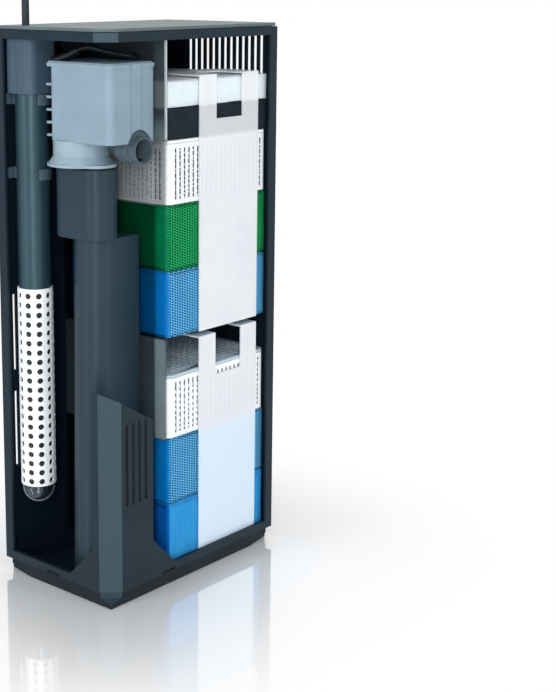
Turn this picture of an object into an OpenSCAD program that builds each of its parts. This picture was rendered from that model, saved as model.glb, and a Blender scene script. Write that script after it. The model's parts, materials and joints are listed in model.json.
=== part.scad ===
// Internal aquarium filter tower, shown with its casing cut away: media baskets
// on the right, thermostat heater at the back left, pump on its riser in front.
// Millimetres. +Z is up, -Y is the wide front, -X the narrow left side, and the
// origin is the centre of the base, on the ground.

/* [Casing] */
// Width of the casing along its front
casing_w = 186; // [176:1:206]
// Depth of the casing from front to back
casing_d = 114; // [112:1:130]
// Height of the casing above its base
casing_h = 404; // [400:1:430]
// Thickness of the casing's walls
wall = 3; // [2.5:0.5:4]
// Leg of the chamfer on the front left corner
corner_cut = 12.5; // [9:0.5:15]
// Width of the two posts that end the cutaway
post_w = 8; // [6:0.5:12]
// Height of the rim that closes the cutaway at the top
rim_h = 6.5; // [5:0.5:9]
// Height of the sill under the cutaway
sill_h = 6.5; // [5:0.5:10]
// Width of the corner panel on the front
panel_front_w = 45; // [36:1:52]
// Width of the corner panel on the left side
panel_side_w = 19; // [15:1:26]
// Height of the corner panel on the left side
panel_h = 151.5; // [140:0.5:180]
// Slope of the corner panel's top edge, in degrees
panel_slope = 31.4; // [20:0.2:34]
// Leg of the flare at the foot of the corner panel
flare = 24; // [10:1:28]
// Thickness of the partition between the pump and the baskets
partition_t = 1.2; // [0.9:0.1:2]

/* [Casing slots] */
// Width of an inlet louvre in the corner panel
louvre_w = 2.6; // [1.5:0.1:3.5]
// Height of an inlet louvre
louvre_h = 61; // [40:1:64]
// Distance between louvres
louvre_pitch = 6.5; // [5:0.1:7]
// Distance of the first louvre from the left side
louvre_first = 16.6; // [15.5:0.1:19]
// Height of the louvres above the base
louvre_z = 65; // [50:1:66]
// Gap between two teeth of the overflow comb
comb_gap = 3; // [2:0.1:4]
// Distance between comb gaps
comb_pitch = 6.1; // [5:0.1:6.8]
// Height of the comb gaps
comb_h = 46; // [30:1:60]
// Thickness of the wall where the comb and the slits go through it
grille_t = 1.5; // [1:0.1:2.5]
// Width of a slit in the back wall
slit_w = 2.5; // [1:0.1:3.2]
// Height of a slit
slit_h = 58.8; // [40:0.2:64]
// Distance between the two columns of slits
slit_pitch = 5.7; // [4.5:0.1:8]
// Length of a latch slot at the foot of the casing
latch_w = 14; // [10:1:18]
// Height of a latch slot
latch_h = 2.4; // [1.5:0.1:3.5]

/* [Base] */
// Height of the base under the casing
base_h = 10; // [8:0.5:14]
// Step from the casing's face to the base's face
base_inset = 1.5; // [0.5:0.25:2]
// Thickness of the base's floor
base_floor = 4; // [3:0.5:5]
// Height of the lip that stands inside the casing
lip_h = 6; // [4:0.5:6]
// Thickness of the lip
lip_t = 2; // [1.5:0.25:3]
// Height of the base's corner facet above the place where it runs out
facet_flat = 4.5; // [3:0.5:5.5]
// Height over which the corner facet runs out
facet_out = 2.5; // [1:0.5:3]
// How far the base draws in at its far corners
base_draw = 4; // [0:0.5:5]
// Length over which the base draws in
base_draw_l = 26; // [15:1:35]

/* [Lid] */
// Thickness of the lid
lid_t = 2.5; // [2:0.25:4]
// Step from the casing's face to the lid's edge
lid_inset = 1; // [0.5:0.25:1.5]
// Depth of the lid's skirt inside the rim
skirt_h = 4; // [2.5:0.5:5]
// Thickness of the skirt
skirt_t = 2; // [1.5:0.25:3]

/* [Pump] */
// Width of the pump housing
pump_w = 49; // [46:0.5:54]
// Space between the pump's fins and the heater's head
pump_heater_gap = 5.3; // [4:0.1:8]
// Height of the pump housing under its cap
pump_h = 52.5; // [50:0.5:60]
// Thickness of the pump's cap
cap_h = 4; // [3:0.5:6]
// Thickness of the pump housing's walls
pump_wall = 2.5; // [2:0.25:3]
// Space between the pump's cap and the top of the rim
pump_top_gap = 21.5; // [18:0.5:28]
// Depth of a cooling fin
fin_d = 4.5; // [3:0.5:5]
// Thickness of a cooling fin
fin_t = 1.7; // [1:0.1:2.5]
// Radius of the pump's rotor chamber
chamber_r = 20; // [18.5:0.25:21]
// Height of the rotor chamber
chamber_h = 11.5; // [10.5:0.25:13]
// Radius of the flange on the riser socket
flange_r = 24.5; // [23.5:0.25:25]
// Height of the flange
flange_h = 7; // [5:0.5:9]
// Radius of the outlet nozzle's bore
nozzle_bore_r = 8.4; // [7.5:0.1:8.8]
// Thickness of the nozzle's wall at its mouth
nozzle_wall = 1.2; // [1:0.1:2]
// Length of the nozzle's straight mouth
mouth_l = 10; // [8:0.5:11]
// Radius of the impeller's shaft
shaft_r = 1.5; // [1.25:0.05:2]
// Radius of the rotor magnet
magnet_r = 7.2; // [6.5:0.1:7.4]
// Length of the rotor magnet
magnet_l = 30; // [24:0.5:32]
// Number of impeller blades
blade_n = 5; // [4:1:8]

/* [Riser] */
// Length of the socket under the pump, front to back
socket_l = 48; // [44:0.5:50]
// Width of the socket
socket_w = 28; // [24:0.5:32]
// Radius of the socket's corners
socket_r = 12; // [8:0.5:12]
// Height of the socket
socket_h = 51; // [40:1:60]
// Thickness of the socket's wall
socket_wall = 2.5; // [2:0.25:3]
// Width of the riser at its foot
riser_w = 47.8; // [44:0.2:48]
// Depth of the riser at its foot
riser_d = 34.8; // [32:0.2:38]
// Size of the riser's top against its foot
riser_taper = 0.92; // [0.86:0.01:1]
// Thickness of the riser's wall
riser_wall = 2; // [1.5:0.25:3]

/* [Heater] */
// Radius of the heater's glass tube
glass_r = 12.2; // [11.5:0.1:12.8]
// Length of the glass below the head
glass_l = 313; // [290:1:320]
// Thickness of the glass
glass_t = 1.2; // [0.8:0.1:1.6]
// Side of the heater's head
head_w = 29; // [27.5:0.25:29.5]
// Height of the heater's head
head_h = 40; // [30:1:46]
// Distance of the heater's axis from the walls
heater_gap = 15.5; // [15.4:0.1:18]
// Length of the perforated sleeve
sleeve_l = 153; // [130:1:165]
// Thickness of the sleeve
sleeve_t = 1; // [0.6:0.1:1.2]
// Radius of a hole in the sleeve
sleeve_hole_r = 2.25; // [1.5:0.05:2.6]
// Distance between rows of holes
sleeve_pitch = 7.2; // [6.5:0.1:9]
// Columns of holes round the sleeve
sleeve_cols = 10; // [8:1:12]
// Radius of the temperature spindle
spindle_r = 2.75; // [2:0.05:3.2]
// Height of the spindle above the rim
spindle_rise = 23; // [10:0.5:40]

/* [Baskets] */
// Thickness of a basket's walls
basket_wall = 1.5; // [1:0.1:2]
// Height of the lower basket
lower_h = 176.4; // [174:0.2:185]
// Height of the upper basket
upper_h = 196; // [193:0.5:200]
// Radius of a foot under the lower basket
foot_r = 4; // [3:0.5:5]
// Width of the plain panel in a basket's front
panel_w = 67.4; // [60:0.2:70]
// Width of a strap beside the finger hole
strap_w = 18.6; // [14:0.2:20]
// Depth of the handle's bridge over the media
bridge_d = 42; // [30:1:50]
// Thickness of the handle
handle_t = 1.5; // [1:0.1:2]
// Height of the finger hole's sill in a handle, below the bridge
finger_h = 33; // [25:1:40]

/* [Media] */
// Thickness of the coarse blue sponge
coarse_t = 47.5; // [44:0.5:49]
// Thickness of the fine blue sponge
fine_t = 52; // [45:0.5:54]
// Height of the lower cartridge
low_cartridge_h = 48.5; // [44:0.5:50]
// Thickness of the upper blue sponge
blue_t = 50; // [45:0.5:52]
// Thickness of the green sponge
green_t = 49.4; // [45:0.2:50]
// Height of the upper cartridge
top_cartridge_h = 46.8; // [42:0.2:48]
// Thickness of the carbon pad
carbon_t = 23; // [18:0.5:24]
// Thickness of the white floss pad
floss_t = 19.5; // [15:0.5:20]
// Thickness of a cartridge's walls
cartridge_t = 1.6; // [1.2:0.1:2.2]
// Width of a slot in a cartridge
cartridge_slot = 1.8; // [1:0.1:2.4]
// Height of the plain edge above and below a cartridge's slots
slot_edge = 3.5; // [2.5:0.5:8]

/* [Cable] */
// Diameter of the pump's cable
cable_d = 4; // [3.6:0.1:4]
// Turns in the stored coil
coil_turns = 7; // [5:1:7]
// Inner radius of the coil, to the middle of the cable
coil_r = 16.2; // [16:0.1:18]
// Distance between turns and between layers
coil_pitch = 4.5; // [4.5:0.05:5]

/* [Hidden] */
$fn = 64;
// clearances: slip fits, stacked pieces, baskets in the casing, shaft in its bush
slip = 0.2;
stack_gap = 0.2;
media_gap = 0.2;
basket_gap = 0.5;
basket_back_gap = 1.5;
basket_side_gap = 0.5;
layer_gap = 0.3;
lid_gap = 0.3;
running = 0.05;
cut = 1;
// faces of the casing, outside and inside
x_l = -casing_w / 2;
x_r = casing_w / 2;
y_f = -casing_d / 2;
y_b = casing_d / 2;
in_l = x_l + wall;
in_r = x_r - wall;
in_f = y_f + wall;
in_b = y_b - wall;
z_seam = base_h;
z_rim = base_h + casing_h;
z_rim_low = z_rim - rim_h;
z_sill = z_seam + sill_h;
z_panel = z_seam + panel_h;
x_panel = x_l + panel_front_w;
y_panel = y_f + panel_side_w;
// an inset of a chamfered outline shortens its chamfer by this share of the inset
chamfer_share = 2 - sqrt(2);
louvre_n = 4;
comb_n = 13;
comb_y = -5.6;
slit_first = 6.6;
slit_rows = [71.5, 147.2];
// the thinned pad round the slits and the comb reaches this far past them
pad_edge = 3;
drain_l = 14;
drain_w = 8.4;
drain_y = -7;
// heater's axis at the back left
heater_x = in_l + heater_gap;
heater_y = in_b - heater_gap;
// pump, counted down from the rim
pump_left_gap = 10;
pump_play = 1.6;
partition_gap = 0.7;
pump_right_gap = pump_play + partition_t + partition_gap;
pump_front_gap = 6.7;
pump_x0 = in_l + pump_left_gap;
pump_x1 = pump_x0 + pump_w;
pump_y0 = in_f + pump_front_gap;
pump_y1 = heater_y - head_w / 2 - pump_heater_gap;
pump_back = pump_y1 - fin_d;
z_cap_top = z_rim - pump_top_gap;
z_cap = z_cap_top - cap_h;
z_pump = z_cap - pump_h;
z_chamber = z_pump - chamber_h;
z_flange = z_chamber - flange_h;
seal_t = 1.5;
z_socket_top = z_flange - seal_t;
z_socket = z_socket_top - socket_h;
axis_from_left = 18;
axis_from_back = 18.2;
axis_x = pump_x0 + axis_from_left;
axis_y = pump_y1 - axis_from_back;
pump_step = 1.5;
pump_face = 24.4;
pump_face2 = 34;
pump_corner_r = 5;
fin_n = 5;
fin_pitch = 9.1;
fin_first = 2.4;
well_r = 8.3;
well_wall = 2.2;
well_h = 40;
chamber_wall = 2;
nozzle_off = 13.2;
nozzle_x = axis_x + nozzle_off;
nozzle_z = z_chamber + chamber_h / 2;
stub_inset = 0.3;
stub_r = chamber_h / 2 - stub_inset;
nozzle_r = nozzle_bore_r + nozzle_wall;
// the nozzle's mouth stands this far in front of the pump
mouth_out = 2.7;
y_mouth = pump_y0 - mouth_out;
y_stub = axis_y - sqrt(pow(chamber_r, 2) - pow(nozzle_off - stub_r - slip, 2)) - slip;
y_swell = y_mouth + mouth_l;
swell = 0.6;
swell_r = nozzle_r + swell;
hood_r = 12;
hood_l = 12;
hood_up = 1.8;
hood_front = 4;
hood_end = y_swell + hood_l - hood_front;
stub_grip = 8;
stub_play = 0.1;
// the arch in the housing leaves room over the hood and behind it
arch_gap = 0.8;
arch_behind = 5.8;
arch_r = hood_r + hood_up + arch_gap;
arch_back = hood_end + arch_behind;
spigot_l = 6;
spigot_wall = 1.4;
spigot_r = stub_r - spigot_wall;
// partition between the pump and the baskets, above the base's lip
chamber_right = pump_x1 + pump_right_gap;
partition_x1 = chamber_right - partition_gap;
partition_x0 = partition_x1 - partition_t;
z_partition = z_seam + lip_h + slip;
grommet_room = 0.6;
// riser under the socket; its flat right end keeps clear of the partition
riser_play = 0.5;
riser_x1 = partition_x0 - riser_play;
riser_y = axis_y - 10.6;
socket_y = axis_y - 5.6;
riser_top_w = riser_w * riser_taper;
riser_top_d = riser_d * riser_taper;
riser_plate = 2.5;
// inlet in the riser's foot, on the side of the baskets
inlet_w = 20;
inlet_h = 18;
// heater, hung from the rim
head_gap = 6;
z_head_top = z_rim - head_gap;
z_head = z_head_top - head_h;
z_tip = z_head - glass_l;
tip_bare = 15.7;
z_sleeve = z_tip + tip_bare;
socket_depth = 10;
head_r = 7;
spindle_x = heater_x - 2.5;
spindle_y = heater_y + 2;
spindle_depth = 14;
clip_t = 1.5;
clip_r = glass_r + 0.3;
clip_h = 8;
clip_plate_w = 24;
clip_drop = [8.4, 63];
sleeve_r = glass_r + 0.1;
sleeve_edge = 1.5;
sleeve_turn = 23;
sleeve_rows = floor((sleeve_l - 2 * sleeve_hole_r - 2 * sleeve_edge) / sleeve_pitch) + 1;
// heating core inside the sleeve, and the thermostat's board above it
core_r = 6;
core_rib = 1;
core_ribs = 18;
core_low = 6;
core_high = 23;
core_l = sleeve_l - core_low - core_high;
z_core = z_sleeve + core_low;
board_w = 16;
board_t = 3;
board_gap = 2;
board_cap_r = 9.5;
board_cap_h = 10;
z_board = z_sleeve + sleeve_l + board_gap;
relay = [10, 4, 50];
relay_z = 40;
lead_r = 0.8;
lead_gap = 6;
lead_grip = 1;
// baskets stand on the base beside the pump
bx0 = chamber_right;
bx1 = in_r - basket_side_gap;
by0 = in_f + basket_gap;
by1 = in_b - basket_back_gap;
basket_w = bx1 - bx0;
z_lower = z_seam + layer_gap;
z_lower_rim = z_lower + lower_h;
z_upper = z_lower_rim + layer_gap;
z_upper_rim = z_upper + upper_h;
front_strip = 34.9;
panel_x0 = bx0 + front_strip;
panel_x1 = panel_x0 + panel_w;
floor_slots = 9;
bridge_drop = 2;
bridge_r = 14;
finger_r = 13;
mx0 = bx0 + basket_wall + media_gap;
mx1 = bx1 - basket_wall - media_gap;
my0 = by0 + basket_wall + media_gap;
my1 = by1 - basket_wall - media_gap;
media_r = 3;
cartridge_r = 6;
// stacked media: bottom of each layer
z_coarse = z_lower + basket_wall + stack_gap;
z_fine = z_coarse + coarse_t + stack_gap;
z_low_cartridge = z_fine + fine_t + stack_gap;
z_blue = z_upper + basket_wall + stack_gap;
z_green = z_blue + blue_t + stack_gap;
z_top_cartridge = z_green + green_t + stack_gap;
z_carbon = z_top_cartridge + top_cartridge_h + stack_gap;
z_floss = z_carbon + carbon_t + stack_gap;
// cable: boot on the cap, grommet in the back wall, coil behind
cable_r = cable_d / 2;
cable_sides = 8;
cable_hole_r = cable_r + 0.3;
gland_x = pump_x0 + 6;
gland_y = pump_back - 4.2;
gland_l = 20;
gland_r = 4.2;
gland_rise = 24;
gland_gap = 0.2;
grommet_r = 4.6;
grommet_lip = 1;
grommet_flange = 1.8;
// the cable lies on the cap and goes straight back from there
exit_x = pump_x1 - 3;
exit_z = z_cap_top + cable_r + 0.1;
// least bends: on the cap, over the hump behind the boot, and behind the casing
bend_r = 4.25 * cable_d;
hump_r = 22.6;
drop_r = 21;
drop_start = y_b + 3;
drop_y = drop_start + drop_r;
// coil on the ground, with its tie and its plug
coil_layers = 2;
coil_rings = 24;
coil_sides = 6;
tie_t = 0.8;
coil_z = cable_r + tie_t + 0.1;
coil_mid = coil_turns / 2;
coil_out = coil_r + coil_pitch * coil_mid;
coil_side = 54;
coil_x = exit_x + coil_side;
coil_y = drop_y + coil_out;
coil_tail = 30;
plug_l = 40;
plug_w = 30;
plug_h = 13;
plug_neck = 18;
plug_shoulder = 28;
relief_l = 20;
pin_r = 2;
pin_l = 18;
pin_gap = 18.6;
pin_grip = 8;
// middle of the turn on the cap, and the boot's direction, which runs into that turn
turn_at = [exit_x - bend_r, gland_y - 30];
turn_way = turn_at - [gland_x, gland_y];
gland_turn = atan2(turn_way.y, turn_way.x) - asin(bend_r / norm(turn_way));
run_l = sqrt(pow(norm(turn_way), 2) - pow(bend_r, 2));
// tip of the boot, and the angle at which the hump behind it comes down
tip_run = gland_l * cos(gland_rise);
tip_z = z_cap_top + gland_l * sin(gland_rise);
hump_end = asin((run_l - tip_run) / hump_r - sin(gland_rise));
hump_z = tip_z + hump_r * (cos(hump_end) - cos(gland_rise));

function on_run(s, z) = [gland_x + s * cos(gland_turn), gland_y + s * sin(gland_turn), z];

// route of the free cable: hump, turn on the cap, out at the back, down, and along the ground
ROUTE = concat(
    [for (i = [0 : 5]) let (a = gland_rise - i * (gland_rise + hump_end) / 5)
        on_run(tip_run + hump_r * (sin(gland_rise) - sin(a)), tip_z + hump_r * (cos(a) - cos(gland_rise)))],
    [for (i = [1 : 10]) let (t = i / 10, a = gland_turn + 270 + t * (90 - gland_turn))
        [turn_at.x + bend_r * cos(a), turn_at.y + bend_r * sin(a),
            exit_z + (hump_z - exit_z) * pow(1 - t, 2)]],
    [for (i = [1 : 4]) [exit_x, turn_at.y + i * (drop_start - turn_at.y) / 4, exit_z]],
    [for (i = [1 : 5]) let (a = 90 - 18 * i)
        [exit_x, drop_start + drop_r * cos(a), exit_z - drop_r + drop_r * sin(a)]],
    [for (i = [1 : 8]) [exit_x, drop_y, exit_z - drop_r - i * (exit_z - coil_z - 2 * drop_r) / 8]],
    [for (i = [1 : 5]) let (a = 180 + 18 * i)
        [exit_x + drop_r + drop_r * cos(a), drop_y, coil_z + drop_r + drop_r * sin(a)]],
    [for (i = [1 : 2]) [exit_x + drop_r + i * (coil_x - exit_x - drop_r) / 2, drop_y, coil_z]]);

// plan of the casing with its chamfered front left corner, drawn in by inset
function casing_plan(inset) =
    let (leg = corner_cut - chamfer_share * inset)
    [[x_l + inset + leg, y_f + inset], [x_r - inset, y_f + inset], [x_r - inset, y_b - inset],
        [x_l + inset, y_b - inset], [x_l + inset, y_f + inset + leg]];

// plan of the base: a sharp front corner, and sides that draw in towards the far corners
function base_plan(inset) =
    [[x_l + inset, y_f + inset], [x_r - base_draw_l, y_f + inset],
        [x_r - inset, y_f + inset + base_draw], [x_r - inset, y_b - inset],
        [x_l + inset + base_draw, y_b - inset], [x_l + inset, y_b - base_draw_l]];

// rectangle from corner a to corner b with round corners
module round_rect(a, b, r) {
    translate([a.x + r, a.y]) square([b.x - a.x - 2 * r, b.y - a.y]);
    translate([a.x, a.y + r]) square([b.x - a.x, b.y - a.y - 2 * r]);
    for (x = [a.x + r, b.x - r], y = [a.y + r, b.y - r]) translate([x, y]) circle(r);
}

module block(a, b) {
    translate(a) cube(b - a);
}

module ring(r, hole, h) {
    difference() {
        cylinder(r = r, h = h);
        translate([0, 0, -cut]) cylinder(r = hole, h = h + 2 * cut);
    }
}

// outline given as x and z, run along y from y0 to y1
module along_y(y0, y1) {
    translate([0, y1, 0]) rotate([90, 0, 0]) linear_extrude(y1 - y0) children();
}

// outline given as y and z, run along x from x0 to x1
module along_x(x0, x1) {
    translate([x0, 0, 0]) rotate([90, 0, 90]) linear_extrude(x1 - x0) children();
}

// round bar along y
module bar_y(x, z, r, y0, y1) {
    translate([x, y1, z]) rotate([90, 0, 0]) cylinder(r = r, h = y1 - y0);
}

// casing

module casing_windows() {
    drop = tan(panel_slope) * (panel_front_w + cut);
    along_x(x_l - cut, in_l + cut) polygon([[y_panel + flare, z_sill], [y_b - post_w, z_sill],
        [y_b - post_w, z_rim_low], [y_panel, z_rim_low], [y_panel, z_sill + flare]]);
    along_y(y_f - cut, in_f + cut) polygon([[x_panel + flare, z_sill], [x_r - post_w, z_sill],
        [x_r - post_w, z_rim_low], [x_panel, z_rim_low], [x_panel, z_sill + flare]]);
    along_y(y_f - cut, y_panel) polygon([[x_l - cut, z_panel], [x_panel, z_panel - drop],
        [x_panel, z_rim_low], [x_l - cut, z_rim_low]]);
}

module casing_slots() {
    for (i = [0 : louvre_n - 1]) {
        x = x_l + louvre_first + i * louvre_pitch;
        block([x, y_f - cut, z_seam + louvre_z],
            [x + louvre_w, in_f + cut, z_seam + louvre_z + louvre_h]);
    }
    for (i = [0 : comb_n - 1]) {
        y = comb_y + (i - (comb_n - 1) / 2) * comb_pitch - comb_gap / 2;
        block([in_r - cut, y, z_rim_low - comb_h], [x_r + cut, y + comb_gap, z_rim_low]);
    }
    comb_half = (comb_n - 1) / 2 * comb_pitch + comb_gap / 2 + pad_edge;
    block([in_r - cut, comb_y - comb_half, z_rim_low - comb_h - pad_edge],
        [x_r - grille_t, comb_y + comb_half, z_rim_low]);
    for (i = [0, 1], z = slit_rows) {
        x = x_l + slit_first + i * slit_pitch - slit_w / 2;
        block([x, in_b - cut, z_seam + z], [x + slit_w, y_b + cut, z_seam + z + slit_h]);
    }
    block([in_l, in_b - cut, z_seam + slit_rows[0] - pad_edge],
        [x_l + slit_first + slit_pitch + slit_w / 2 + pad_edge, y_b - grille_t,
            z_seam + slit_rows[1] + slit_h + pad_edge]);
    block([x_panel + 10, y_f - cut, z_seam - cut],
        [x_panel + 10 + latch_w, in_f - 1, z_seam + latch_h]);
    block([x_l - cut, y_panel + 35, z_seam - cut],
        [in_l - 1, y_panel + 35 + latch_w, z_seam + latch_h]);
    bar_y(exit_x, exit_z, grommet_r, in_b - cut, y_b + cut);
}

module casing() {
    color("#3a444b") difference() {
        translate([0, 0, z_seam]) linear_extrude(casing_h) difference() {
            polygon(casing_plan(0));
            polygon(casing_plan(wall));
        }
        casing_windows();
        casing_slots();
    }
}

module base_tray() {
    lip_out = wall + slip;
    lip_in = lip_out + lip_t;
    facet_run = (corner_cut - base_inset * chamfer_share) / sqrt(2);
    facet_end = -facet_flat - facet_out;
    color("#2b343a") {
        difference() {
            linear_extrude(base_h) polygon(base_plan(base_inset));
            translate([0, 0, base_floor]) linear_extrude(base_h) polygon(casing_plan(lip_in));
            translate([x_l + base_inset, y_f + base_inset, z_seam]) rotate([0, 0, 45])
                along_y(-2 * corner_cut, 2 * corner_cut) polygon([[-corner_cut, cut], [facet_run, cut],
                    [facet_run, -facet_flat], [0, facet_end], [-corner_cut, facet_end]]);
            block([in_l + 3, drain_y, -cut], [in_l + 3 + drain_w, drain_y + drain_l, base_h]);
        }
        difference() {
            translate([0, 0, base_floor]) linear_extrude(base_h - base_floor + lip_h) difference() {
                polygon(casing_plan(lip_out));
                polygon(casing_plan(lip_in));
            }
            block([bx0 - 1, in_f - cut, z_seam], [bx1 + 0.5, in_b + cut, z_seam + lip_h + cut]);
        }
    }
}

module lid() {
    color("#6d7b7a") difference() {
        union() {
            translate([0, 0, z_rim + lid_gap]) linear_extrude(lid_t) polygon(casing_plan(lid_inset));
            translate([0, 0, z_rim - skirt_h]) linear_extrude(skirt_h + lid_gap + 0.5) difference() {
                polygon(casing_plan(wall + 2 * slip));
                polygon(casing_plan(wall + 2 * slip + skirt_t));
            }
        }
        translate([spindle_x, spindle_y, z_rim - cut]) cylinder(r = spindle_r + 0.6, h = lid_t + 2 * cut);
    }
}

// smoky wall from the base's lip to the rim, cut out for the riser's inlet and round the grommet
module partition() {
    far = grommet_r + grommet_flange + grommet_room;
    color("#5d676b", 0.6) difference() {
        block([partition_x0, by0, z_partition], [partition_x1, in_b, z_rim_low - slip]);
        block([partition_x0 - cut, riser_y - inlet_w / 2, z_partition - cut],
            [partition_x1 + cut, riser_y + inlet_w / 2, base_floor + inlet_h]);
        block([partition_x0 - cut, in_b - grommet_lip - grommet_room, exit_z - far],
            [partition_x1 + cut, in_b + cut, exit_z + far]);
    }
}

// riser and socket under the pump

// plan of the riser from its flat right end at x = 0, round at the left
module riser_plan(w, d, inset) {
    r = d / 2;
    translate([r - w, -r + inset]) square([w - r - inset, d - 2 * inset]);
    translate([r - w, 0]) circle(r - inset);
}

// water way through the riser's top and the socket's floor
module riser_way() {
    half_w = socket_w / 2 - socket_wall - 1.5;
    half_d = riser_top_d / 2 - riser_wall - 1.5;
    round_rect([axis_x - half_w, riser_y - half_d], [axis_x + half_w, riser_y + half_d], 6);
}

module riser_duct() {
    height = z_socket - base_floor;
    color("#44525b") {
        translate([riser_x1, riser_y, base_floor]) difference() {
            linear_extrude(height, scale = riser_taper) riser_plan(riser_w, riser_d, 0);
            translate([0, 0, -0.01]) linear_extrude(height + 0.02, scale = riser_taper)
                riser_plan(riser_w, riser_d, riser_wall);
            block([-riser_wall - cut, -inlet_w / 2, -cut], [cut, inlet_w / 2, inlet_h]);
        }
        translate([0, 0, z_socket - riser_plate]) linear_extrude(riser_plate) difference() {
            translate([riser_x1, riser_y]) riser_plan(riser_top_w, riser_top_d, riser_wall / 2);
            riser_way();
        }
    }
}

module socket_plan(inset) {
    round_rect([axis_x - socket_w / 2 + inset, socket_y - socket_l / 2 + inset],
        [axis_x + socket_w / 2 - inset, socket_y + socket_l / 2 - inset], socket_r - inset);
}

module pump_socket() {
    color("#3f4c55") {
        translate([0, 0, z_socket]) linear_extrude(socket_h) difference() {
            socket_plan(0);
            socket_plan(socket_wall);
        }
        translate([0, 0, z_socket]) linear_extrude(riser_plate) difference() {
            socket_plan(socket_wall / 2);
            riser_way();
        }
    }
}

module socket_seal() {
    color("#15181a") translate([0, 0, z_socket_top]) linear_extrude(seal_t) difference() {
        socket_plan(0.3);
        socket_plan(socket_wall + 0.8);
    }
}

// pump

// inlet under the impeller, inside the socket
inlet_r = socket_w / 2 - socket_wall - 2;

module pump_flange() {
    color("#b4c5cf") translate([axis_x, axis_y, z_flange]) difference() {
        union() {
            cylinder(r = flange_r, h = 2);
            translate([0, 0, 2]) cylinder(r1 = flange_r - 1.2, r2 = chamber_r, h = flange_h - 2);
            translate([-axis_x, -axis_y, 0]) linear_extrude(2) socket_plan(0);
        }
        translate([0, 0, -cut]) cylinder(r = inlet_r, h = flange_h + 2 * cut);
        rotate([0, 0, 222]) translate([flange_r - 1, -5.5, 0.6]) cube([3, 11, 1.6]);
    }
}

module rotor_chamber() {
    color("#b4c5cf") difference() {
        union() {
            translate([axis_x, axis_y, z_chamber]) cylinder(r = chamber_r, h = chamber_h);
            bar_y(nozzle_x, nozzle_z, stub_r, y_stub, axis_y);
            bar_y(nozzle_x, nozzle_z, spigot_r, y_stub - spigot_l, axis_y);
        }
        translate([axis_x, axis_y, z_chamber + chamber_wall])
            cylinder(r = chamber_r - chamber_wall, h = chamber_h);
        translate([axis_x, axis_y, z_chamber - cut]) difference() {
            cylinder(r = inlet_r - 1, h = chamber_h);
            for (a = [0, 120, 240]) rotate([0, 0, a]) translate([0, -1, 0]) cube([inlet_r, 2, chamber_h]);
            cylinder(r = 5, h = chamber_h);
        }
        translate([axis_x, axis_y, z_chamber - cut]) cylinder(r = shaft_r + 1.2, h = chamber_h);
        bar_y(nozzle_x, nozzle_z, spigot_r - 1.2, y_stub - spigot_l - cut, axis_y);
    }
}

// plan of the pump: rounded front left corner and a front face in three steps
module pump_plan(inset, back) {
    round_rect([pump_x0 + inset, pump_y0 + inset],
        [pump_x0 + pump_face, back - inset], pump_corner_r - inset);
    round_rect([pump_x0 + 8, pump_y0 + pump_step + inset], [pump_x0 + pump_face2, back - inset], 1.5);
    round_rect([pump_x0 + 14, pump_y0 + 2 * pump_step + inset], [pump_x1 - inset, back - inset], 3);
}

// the housing's inside, which stays above the arch over the nozzle
module pump_cavity() {
    z_over = nozzle_z + arch_r + pump_wall;
    translate([0, 0, z_over]) linear_extrude(z_cap - z_over + cut) pump_plan(pump_wall, pump_back);
    block([pump_x0 + pump_wall, y_swell + hood_front, z_pump + pump_wall],
        [nozzle_x - arch_r - pump_wall, pump_back - pump_wall, z_over + cut]);
}

module pump_housing() {
    color("#93a7b3") difference() {
        union() {
            difference() {
                translate([0, 0, z_pump]) linear_extrude(pump_h) pump_plan(0, pump_back);
                pump_cavity();
            }
            translate([axis_x, axis_y, z_pump]) cylinder(r = well_r + well_wall, h = well_h + well_wall);
            for (i = [0 : fin_n - 1]) {
                z = z_pump + fin_first + i * fin_pitch;
                block([pump_x0 + 2, pump_back - 1, z], [pump_x1 - 2, pump_y1, z + fin_t]);
            }
        }
        translate([axis_x, axis_y, z_pump - cut]) cylinder(r = well_r, h = well_h + cut);
        bar_y(nozzle_x, nozzle_z, arch_r, pump_y0 - cut, arch_back);
    }
}

module pump_cap() {
    color("#9db0bb") difference() {
        union() {
            translate([0, 0, z_cap]) linear_extrude(cap_h - 1) pump_plan(-0.6, pump_y1 - 0.6);
            translate([0, 0, z_cap_top - 1]) linear_extrude(1) pump_plan(0.6, pump_y1 - 0.6);
        }
        translate([gland_x, gland_y, z_cap - cut]) cylinder(r = cable_r + 0.3, h = cap_h + 2 * cut);
    }
}

module outlet_nozzle() {
    back = y_stub - slip;
    color("#6f7f88") difference() {
        union() {
            translate([nozzle_x, back, nozzle_z]) rotate([90, 0, 0]) rotate_extrude() polygon([
                [0, 0], [stub_r + stub_play, 0], [stub_r + stub_play, stub_grip],
                [swell_r, back - y_swell], [nozzle_r, back - y_mouth], [0, back - y_mouth]]);
            bar_y(nozzle_x, nozzle_z + hood_up, hood_r, y_swell - hood_front, hood_end);
        }
        bar_y(nozzle_x, nozzle_z, nozzle_bore_r, y_mouth - cut, y_swell);
        translate([nozzle_x, back - spigot_l, nozzle_z]) rotate([90, 0, 0])
            cylinder(r1 = spigot_r + slip / 2, r2 = nozzle_bore_r, h = back - spigot_l - y_swell + 0.01);
        bar_y(nozzle_x, nozzle_z, spigot_r + slip / 2, back - spigot_l - 0.01, back + cut);
    }
}

z_blade = z_chamber + chamber_wall + 1;
blade_h = chamber_h - chamber_wall - 2.5;
blade_r = chamber_r - chamber_wall - 3;
z_magnet = z_pump + 2;

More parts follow.
